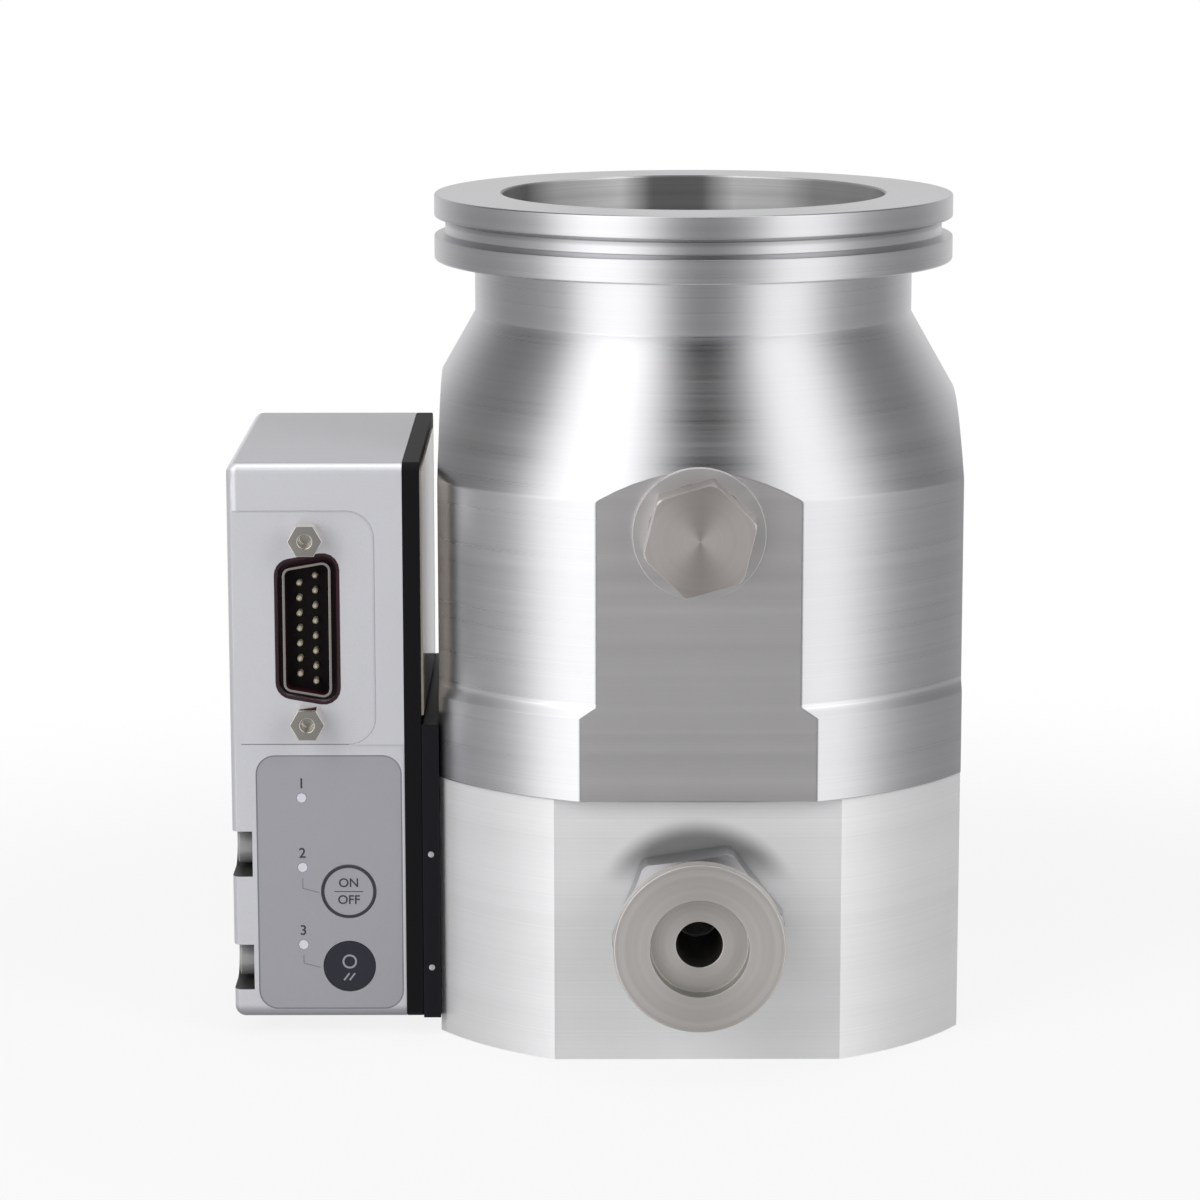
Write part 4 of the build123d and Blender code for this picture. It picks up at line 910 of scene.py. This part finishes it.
def plugOutline(margin=0.0, corner=1.5, count=5):
    # the plug's leaning outline with rounded corners, widened by margin
    lean = plugWidth * math.tan(math.radians(plugLean))
    right, top = plugWidth / 2, plugLength / 2
    points = [Vector(spot) for spot in ((right, -top), (right, top), (-right, top - lean),
                                        (-right, lean - top))]
    result = []
    for index, here in enumerate(points):
        toBefore = (points[index - 1] - here).normalized()
        toAfter = (points[(index + 1) % 4] - here).normalized()
        half = toBefore.angle(toAfter) / 2
        centre = here + (toBefore + toAfter).normalized() * (corner / math.sin(half))
        start = math.atan2(*(here + toBefore * corner / math.tan(half) - centre).yx)
        end = math.atan2(*(here + toAfter * corner / math.tan(half) - centre).yx)
        while end < start:
            end += 2 * math.pi
        result += arcPoints((plugX + centre.x, plugZ + centre.y), corner + margin,
                            math.degrees(start), math.degrees(end), count)
    return result


combine(cover, prismMesh(plugOutline(plugMargin), low[1] - 1, low[1] + wall + 1, "Y"))
finishEdges(cover, coverSet["bevel"], 30.0)
dress(cover, coverPaint, "controller_cover")
# painted shade: the walls round the notches take a near-black paint
cover.data.materials.append(notchShadow)
for polygon in cover.data.polygons:
    centre = polygon.center / mm
    besideNotch = centre.x < low[0] + notchWidth + slack
    withinNotch = any(abs(centre.z - height) < notchRadius + slack for height in notchHeights)
    if besideNotch and withinNotch and low[1] + 0.6 < centre.y < notchBack + notchRadius + slack:
        polygon.material_index = 1
print("controller cover made:", len(cover.data.polygons), "faces")


# 15-pin plug
shellSet = {"front": -34.6, "back": -31.0, "wall": 0.4, "flange": (12.5, 38.6, 1.0),
            "bevel": 0.12, "bright": 0.9}
shellFront, shellBack = shellSet["front"], shellSet["back"]
shell = newObject("plugShell", prismMesh(plugOutline(), shellFront, shellBack, "Y", "plugShell"))
flangeWidth, flangeLength, flangeThickness = shellSet["flange"]
flangeLow = (plugX - flangeWidth / 2, shellBack - flangeThickness, plugZ - flangeLength / 2)
flangeHigh = (plugX + flangeWidth / 2, shellBack, plugZ + flangeLength / 2)
combine(shell, boxMesh(flangeLow, flangeHigh), "UNION")
combine(shell, prismMesh(plugOutline(-shellSet["wall"]), shellFront - 1, shellBack + 1, "Y"))
finishEdges(shell, shellSet["bevel"], 30.0)
dress(shell, nickelPlate, "dsub_shell")
shell.data.materials.append(plugWine)
for polygon in shell.data.polygons:
    if polygon.center.y / mm > shellFront + shellSet["bright"]:
        polygon.material_index = 1  # the flange behind the window, and the inside of the shell


# Geometry Nodes for repeated pieces: a float is a length in millimetres, and an int is a count
def newGrowTree(name, settings):
    tree = bpy.data.node_groups.new(name, "GeometryNodeTree")
    tree.interface.new_socket("Geometry", in_out="INPUT", socket_type="NodeSocketGeometry")
    for key, value in settings.items():
        kind = "NodeSocketInt" if isinstance(value, int) else "NodeSocketFloat"
        tree.interface.new_socket(key, in_out="INPUT", socket_type=kind)
    tree.interface.new_socket("Geometry", in_out="OUTPUT", socket_type="NodeSocketGeometry")
    return tree, tree.nodes.new("NodeGroupInput").outputs


def pointLine(tree, count, start, pitch):
    # points upwards from start
    inputs = {"Count": count, "Start Location": joinXyz(tree, *start),
              "Offset": joinXyz(tree, 0.0, 0.0, pitch)}
    return addNode(tree, "GeometryNodeMeshLine", inputs).outputs["Mesh"]


def growPiece(tree, points, single, material, settings):
    # one copy of the single piece on each point, laid along Y, and baked
    inputs = {"Points": points, "Instance": single, "Rotation": (math.pi / 2, 0.0, 0.0)}
    spread = addNode(tree, "GeometryNodeInstanceOnPoints", inputs).outputs[0]
    real = addNode(tree, "GeometryNodeRealizeInstances", {"Geometry": spread}).outputs[0]
    inputs = {"Geometry": real, "Material": material}
    painted = addNode(tree, "GeometryNodeSetMaterial", inputs).outputs[0]
    addNode(tree, "NodeGroupOutput", {0: painted})
    grown = newObject(tree.name, bpy.data.meshes.new(tree.name))
    modifier = grown.modifiers.new(tree.name, "NODES")
    modifier.node_group = tree
    for item in tree.interface.items_tree:
        if item.in_out == "INPUT" and item.name in settings:
            value = settings[item.name]
            modifier[item.identifier] = value if isinstance(value, int) else value * mm
    bakeModifiers(grown)
    return grown


pinSet = {"Pin Radius": 0.5, "Pin Length": 2.2, "Pitch": 2.76, "Row Gap": 2.84, "Back": -31.0,
          "Left Count": 7, "Right Count": 8}
pinSides, tipWidth, tipLength = 16, 0.45, 0.8
tree, given = newGrowTree("plugPins", pinSet)
pinRadius, pinLength = given["Pin Radius"], given["Pin Length"]
halfLength = maths(tree, "MULTIPLY", pinLength, 0.5)
shank = addNode(tree, "GeometryNodeMeshCylinder",
                {"Vertices": pinSides, "Radius": pinRadius, "Depth": pinLength})
tip = addNode(tree, "GeometryNodeMeshCone", {
    "Vertices": pinSides, "Radius Top": maths(tree, "MULTIPLY", pinRadius, tipWidth),
    "Radius Bottom": pinRadius, "Depth": maths(tree, "MULTIPLY", pinRadius, tipLength)})
lift = joinXyz(tree, 0.0, 0.0, halfLength)
raised = addNode(tree, "GeometryNodeTransform",
                 {"Geometry": tip.outputs["Mesh"], "Translation": lift})
pin = addNode(tree, "GeometryNodeJoinGeometry")
rows = addNode(tree, "GeometryNodeJoinGeometry")
tree.links.new(shank.outputs["Mesh"], pin.inputs[0])
tree.links.new(raised.outputs[0], pin.inputs[0])
for count, side in ((given["Left Count"], -0.5), (given["Right Count"], 0.5)):
    across = maths(tree, "ADD", maths(tree, "MULTIPLY", given["Row Gap"], side), plugX * mm)
    gaps = maths(tree, "SUBTRACT", count, 1.0)
    halfSpan = product(tree, gaps, given["Pitch"], 0.5)
    start = (across, maths(tree, "SUBTRACT", given["Back"], halfLength),
             maths(tree, "SUBTRACT", plugZ * mm, halfSpan))
    tree.links.new(pointLine(tree, count, start, given["Pitch"]), rows.inputs[0])
pins = growPiece(tree, rows.outputs[0], pin.outputs[0], pinGold, pinSet)
finishEdges(pins, 0.0, 30.0)
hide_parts("dsub_pins")
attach(pins, "root")
print("plug made")


# label, its print and the keys; a light row is a height, a key row is x, z and radius
copyPieces({"label_panel": ("labelPlate", 0.08, 40.0, labelFilm, "label")})
printSet = {"face": -33.6, "proud": 0.02, "recessProud": 0.015, "light": -71.0,
            "lightHeights": (44.0, 31.1, 16.7), "startKey": (-62.7, 26.6, 4.9),
            "resetKey": (-62.7, 12.6), "number": (2.6, 2.6), "word": 2.3,
            "lead": 0.18, "leadShape": (2.0, 0.6, 3.0, 0.2), "border": 0.24, "recessShadeLine": 0.16,
            "plugEdge": 0.6, "plugEdgeOut": 0.25, "startRing": 0.5, "startBar": (2.6, 0.14),
            "resetRing": (0.9, 1.15, 0.34), "resetStrokes": ((-0.55, 0.45), 0.5, (2.6, 1.3), 0.3)}
face, proud = printSet["face"], printSet["proud"]
startX, startZ, startRadius = printSet["startKey"]
resetX, resetZ = printSet["resetKey"]
lightX, lightHeights = printSet["light"], printSet["lightHeights"]


def flatStroke(work, first, second, width):
    along = Vector((second[0] - first[0], second[1] - first[1])).normalized()
    side = Vector((-along.y, along.x)) * width / 2
    first, second = Vector(first), Vector(second)
    corners = [first + side, first - side, second - side, second + side]
    stitchRings(work, prismRings(corners, face - proud, face + proud, "Y"), False)


def flatRing(work, centre, radius, width, count=64):
    section = ((radius - width / 2, face - proud), (radius + width / 2, face - proud),
               (radius + width / 2, face + proud), (radius - width / 2, face + proud))
    rings = [[(x, depth, z) for x, z in arcPoints(centre, distance, 0, 360, count)[:-1]]
             for distance, depth in section]
    stitchRings(work, rings, True)


def outlineStrip(work, outline, width, face, proud, closed=True):
    # a flat strip along an outline
    count = len(outline)
    rings = []
    for index, (x, z) in enumerate(outline):
        before, after = outline[index - 1], outline[(index + 1) % count]
        if not closed:
            before, after = outline[max(index - 1, 0)], outline[min(index + 1, count - 1)]
        along = Vector((after[0] - before[0], after[1] - before[1])).normalized()
        side = Vector((along.y, -along.x)) * width / 2
        rings.append([(x + side.x * sign, face + depth, z + side.y * sign)
                      for sign, depth in ((-1, -proud), (1, -proud), (1, proud), (-1, proud))])
    stitchRings(work, rings, closed)


def printPiece(name, draw, material, body):
    mesh = meshFrom(name, draw)
    mesh.materials.append(material)
    made = newObject(name, mesh)
    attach(made, body)


def textPiece(name, words, centre, size, body):
    curve = bpy.data.curves.new(name, "FONT")
    curve.body = words
    curve.size = size * mm
    curve.align_x = "CENTER"
    curve.align_y = "CENTER"
    curve.extrude = proud * mm
    curve.offset = 0.03 * mm
    flat = newObject(name, curve)
    mesh = evaluatedMesh(flat)
    bpy.data.objects.remove(flat)
    mesh.transform(Matrix.Translation(Vector((centre[0], face, centre[1])) * mm)
                   @ Matrix.Rotation(math.pi / 2, 4, "X"))
    mesh.materials.clear()
    mesh.materials.append(printDark)
    made = newObject(name, mesh)
    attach(made, body)


def drawLeads(work):
    # from under a light to the level of its key
    below, turnRise, reach, drop = printSet["leadShape"]
    for height, key in ((lightHeights[1], startZ), (lightHeights[2], resetZ)):
        bend = (lightX, key + turnRise)
        flatStroke(work, (lightX, height - below), bend, printSet["lead"])
        flatStroke(work, bend, (lightX + reach, key - drop), printSet["lead"])


def drawStartRing(work):
    width, (reach, barWidth) = printSet["startRing"], printSet["startBar"]
    flatRing(work, (startX, startZ), startRadius - width / 2, width)
    flatStroke(work, (startX - reach, startZ), (startX + reach, startZ), barWidth)


def drawResetMark(work):
    shifts, lean, (foot, top), strokeWidth = printSet["resetStrokes"]
    for shift in shifts:
        middle = resetX + shift
        flatStroke(work, (middle - lean, resetZ - foot), (middle + lean, resetZ - top), strokeWidth)
    rise, radius, width = printSet["resetRing"]
    flatRing(work, (resetX, resetZ + rise), radius, width, 40)


def drawLabelBorder(work):
    inset = printSet["border"] / 2
    outline = roundedOutline((labelLeft + inset, labelBottom + inset),
                             (labelRight - inset, labelTop - inset), labelCorner - inset)
    outlineStrip(work, outline, printSet["border"], face, proud)


def drawRecessEdge(work):
    # painted shade: a narrow grey line along the step round the area of the plug
    inner, bottom = recessRight - recessCorner, coverSet["lowerTop"]
    route = [(low[0] + 2.2, recessTop)]
    route += arcPoints((inner, recessTop - recessCorner), recessCorner, 90, 0, 10)
    route += arcPoints((inner, bottom + recessCorner), recessCorner, 0, -90, 10)
    route.append((low[0] + 2.0, bottom + 0.02))
    outlineStrip(work, route, printSet["recessShadeLine"], low[1] + recessDepth,
                 printSet["recessProud"], closed=False)


def drawPlugEdge(work):
    outlineStrip(work, plugOutline(plugMargin + printSet["plugEdgeOut"]), printSet["plugEdge"],
                 low[1] + recessDepth, proud)


printPiece("plugEdge", drawPlugEdge, plugWine, "root")
printPiece("labelBorder", drawLabelBorder, printGrey, "root")
printPiece("recessShadeLine", drawRecessEdge, printGrey, "root")
printPiece("labelLeads", drawLeads, printGrey, "root")
printPiece("startRing", drawStartRing, printDark, "start_stop_key")
printPiece("resetMark", drawResetMark, printLight, "reset_key")
for name, words, rise in (("startUpper", "ON", 1.55), ("startLower", "OFF", -1.6)):
    textPiece(name, words, (startX, startZ + rise), printSet["word"], "start_stop_key")
numberRise, numberSize = printSet["number"]
for number, height in enumerate(lightHeights, start=1):
    textPiece(f"lightNumber{number}", str(number), (lightX, height + numberRise), numberSize,
              "root")
print("label made")

copyPieces({
    "start_stop_button": ("startKey", 0.06, 40.0, labelFilm, "key_light"),
    "reset_button": ("resetKey", 0.06, 40.0, resetFilm, "key_dark"),
    "jack_screws": ("jackScrews", 0.25, 35.0, nickelPlate, "jack"),
    "controller_screws": ("controllerScrews", 0.25, 35.0, notchSteel, "screw"),
    "controller_plate": ("controllerPlate", 0.2, 35.0, plateBlack, "plate"),
    "mounting_block": ("mountingBlock", 0.2, 35.0, blockBlack, "block"),
})

# two small screws in the front of the block, made along a line
blockScrewSet = {"Radius": 0.55, "Depth": 0.3, "Across": -47.75, "Front": -34.05, "Lowest": 12.5,
                 "Pitch": 21.1, "Count": 2}
tree, given = newGrowTree("blockScrews", blockScrewSet)
screwHead = addNode(tree, "GeometryNodeMeshCylinder",
                    {"Vertices": 20, "Radius": given["Radius"], "Depth": given["Depth"]})
screwLine = pointLine(tree, given["Count"], (given["Across"], given["Front"], given["Lowest"]),
                      given["Pitch"])
blockScrews = growPiece(tree, screwLine, screwHead.outputs["Mesh"], notchSteel, blockScrewSet)
finishEdges(blockScrews, 0.1, 30.0)
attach(blockScrews, "root")

copyPieces({
    "rotor": ("bladedRotor", 0.0, 30.0, rotorAluminium, "rotor"),
    "base_cover": ("underCover", 0.2, 30.0, milledAluminium, "casing"),
})

# nodes that keep their own mesh
nodeFinish = {
    "cover_screws": screwSteel, "casing_screws": screwSteel, "stator_ring_1": rotorAluminium,
    "stator_ring_2": rotorAluminium, "drag_stator": rotorAluminium, "rotor_shaft": screwSteel,
    "rotor_screw": screwSteel, "shaft_nut": screwSteel, "motor_magnet": magnetDark,
    "motor_core": magnetDark, "motor_windings": copperWire, "upper_bearing": screwSteel,
    "lower_bearing": screwSteel, "bearing_carrier": milledAluminium, "exhaust_seal": sealRubber,
    "plug_seal": sealRubber, "feedthrough": connectorBlack, "insulating_pad": padSheet,
    "screw_sleeves": screwSteel, "status_lights": lightLens, "display_board": boardGreen,
    "circuit_board": boardGreen, "board_posts": screwSteel, "dsub_insulator": connectorBlack,
}
for nodeName, material in nodeFinish.items():
    thing = nodes[nodeName]
    if not thing.material_slots:
        thing.data.materials.append(material)
    for materialSlot in thing.material_slots:
        materialSlot.material = material
print("nodes painted")


# floor, in metres: it fades out with the distance, and glows a little for the camera alone
floorSet = {"radius": 0.6, "drop": 0.0002, "colour": grey(0.72), "fade": (0.12, 0.30),
            "lift": 0.85}
floorMesh = bpy.data.meshes.new("paleFloor")
work = bmesh.new()
bmesh.ops.create_circle(work, cap_ends=True, segments=96, radius=floorSet["radius"])
work.to_mesh(floorMesh)
work.free()
paleFloor = newObject("paleFloor", floorMesh)
paleFloor.location.z = -floorSet["drop"]
paleFloor.visible_glossy = False
floorPaint = bpy.data.materials.new("floorPaint")
floorPaint.use_nodes = True
tree = floorPaint.node_tree
tree.nodes.clear()
fade = rampBetween(tree, lengthOf(tree, objectCoordinates(tree)), *floorSet["fade"])
matte = addNode(tree, "ShaderNodeBsdfDiffuse", {"Color": floorSet["colour"]})
glow = addNode(tree, "ShaderNodeEmission", {"Color": grey(1.0), "Strength": 1.0})
cameraRay = addNode(tree, "ShaderNodeLightPath").outputs["Is Camera Ray"]
seen = maths(tree, "MULTIPLY", cameraRay, floorSet["lift"])
lifted = addNode(tree, "ShaderNodeMixShader", {0: seen, 1: matte.outputs[0], 2: glow.outputs[0]})
clear = addNode(tree, "ShaderNodeBsdfTransparent")
blended = addNode(tree, "ShaderNodeMixShader", {0: fade, 1: lifted.outputs[0],
                                                2: clear.outputs[0]})
addNode(tree, "ShaderNodeOutputMaterial", {"Surface": blended.outputs[0]})
floorMesh.materials.append(floorPaint)

# The room round the object: bands hold an azimuth from the front, in degrees, and its brightness.
# The other pairs are the sine of a height, or the cosine of a turn away from the back, where a
# change starts and ends.
roomSet = {
    "bands": [(-180, 0.66), (-155, 0.66), (-135, 0.42), (-118, 0.26), (-95, 0.26), (-72, 0.38),
              (-62, 0.95), (-52, 1.30), (-30, 1.30), (-20, 0.85), (-10, 0.28), (0, 0.18),
              (14, 0.20), (26, 0.45), (36, 1.08), (56, 1.08), (66, 0.74), (80, 0.34), (96, 0.27),
              (114, 0.26), (132, 0.42), (155, 0.66), (180, 0.66)],
    "high": (0.2, 0.65), "highDark": 0.23, "highGain": 1.45, "highWide": 0.15,
    "overStart": (0.91, 0.98), "over": 1.30, "underStart": (-0.45, -0.85), "under": 0.45,
    "backdrop": (0.86, 0.97), "backdropShare": 0.3,
}


def mixColour(tree, share, first, value, blend="MIX"):
    inputs = {0: share, 6: first, 7: grey(value)}
    return addNode(tree, "ShaderNodeMix", inputs, data_type="RGBA", blend_type=blend).outputs[2]


world = bpy.data.worlds.new("studioRoom")
scene.world = world
world.use_nodes = True
tree = world.node_tree
tree.nodes.clear()
direction = addNode(tree, "ShaderNodeTexCoord").outputs["Generated"]
parts = splitXyz(tree, direction)
highUp = rampBetween(tree, parts["Z"], *roomSet["high"], "LINEAR")
azimuth = maths(tree, "ARCTAN2", parts["X"], maths(tree, "MULTIPLY", parts["Y"], -1.0))
narrowing = maths(tree, "MULTIPLY_ADD", highUp, -roomSet["highWide"], 1.0)
bandColour = bandRamp(tree, maths(tree, "MULTIPLY", azimuth, narrowing), roomSet["bands"])
overhead = rampBetween(tree, parts["Z"], *roomSet["overStart"])
beneath = rampBetween(tree, parts["Z"], *roomSet["underStart"])
deeper = mixColour(tree, highUp, bandColour, roomSet["highDark"], "SUBTRACT")
stronger = mixColour(tree, highUp, deeper, roomSet["highGain"], "MULTIPLY")
withTop = mixColour(tree, overhead, stronger, roomSet["over"])
withFloor = mixColour(tree, beneath, withTop, roomSet["under"])
path = addNode(tree, "ShaderNodeLightPath").outputs
mirrored = maths(tree, "MAXIMUM", path["Is Glossy Ray"], path["Is Transmission Ray"])
backdrop = rampBetween(tree, parts["Y"], *roomSet["backdrop"])
mirroredShare = product(tree, mirrored, backdrop, roomSet["backdropShare"])
whiteShare = maths(tree, "MAXIMUM", path["Is Camera Ray"], mirroredShare)
room = addNode(tree, "ShaderNodeBackground", {"Color": withFloor, "Strength": 1.0})
white = addNode(tree, "ShaderNodeBackground", {"Color": grey(1.0), "Strength": 1.0})
shown = addNode(tree, "ShaderNodeMixShader",
                {0: whiteShare, 1: room.outputs[0], 2: white.outputs[0]})
addNode(tree, "ShaderNodeOutputWorld", {"Surface": shown.outputs[0]})

# lamps, in metres and watts, aimed at the middle of the pump
lampSet = {
    "leftBox": {"place": (-0.9, -1.0, 0.75), "size": (0.5, 1.0), "power": 6.0},
    "rightBox": {"place": (1.0, -0.9, 0.75), "size": (0.5, 1.0), "power": 4.5},
    "overBox": {"place": (0.0, 0.1, 1.3), "size": (0.9, 0.9), "power": 0.8},
}
aim = Vector((0.0, 0.0, 0.07))
for lampName, lampFacts in lampSet.items():
    lampData = bpy.data.lights.new(lampName, "AREA")
    lampData.shape = "RECTANGLE"
    lampData.size, lampData.size_y = lampFacts["size"]
    lampData.energy = lampFacts["power"]
    lamp = newObject(lampName, lampData)
    lamp.location = lampFacts["place"]
    lamp.rotation_euler = (aim - lamp.location).to_track_quat("-Z", "Y").to_euler()
    lamp.visible_glossy = False
scene.view_settings.view_transform = "Standard"
print("studio set")
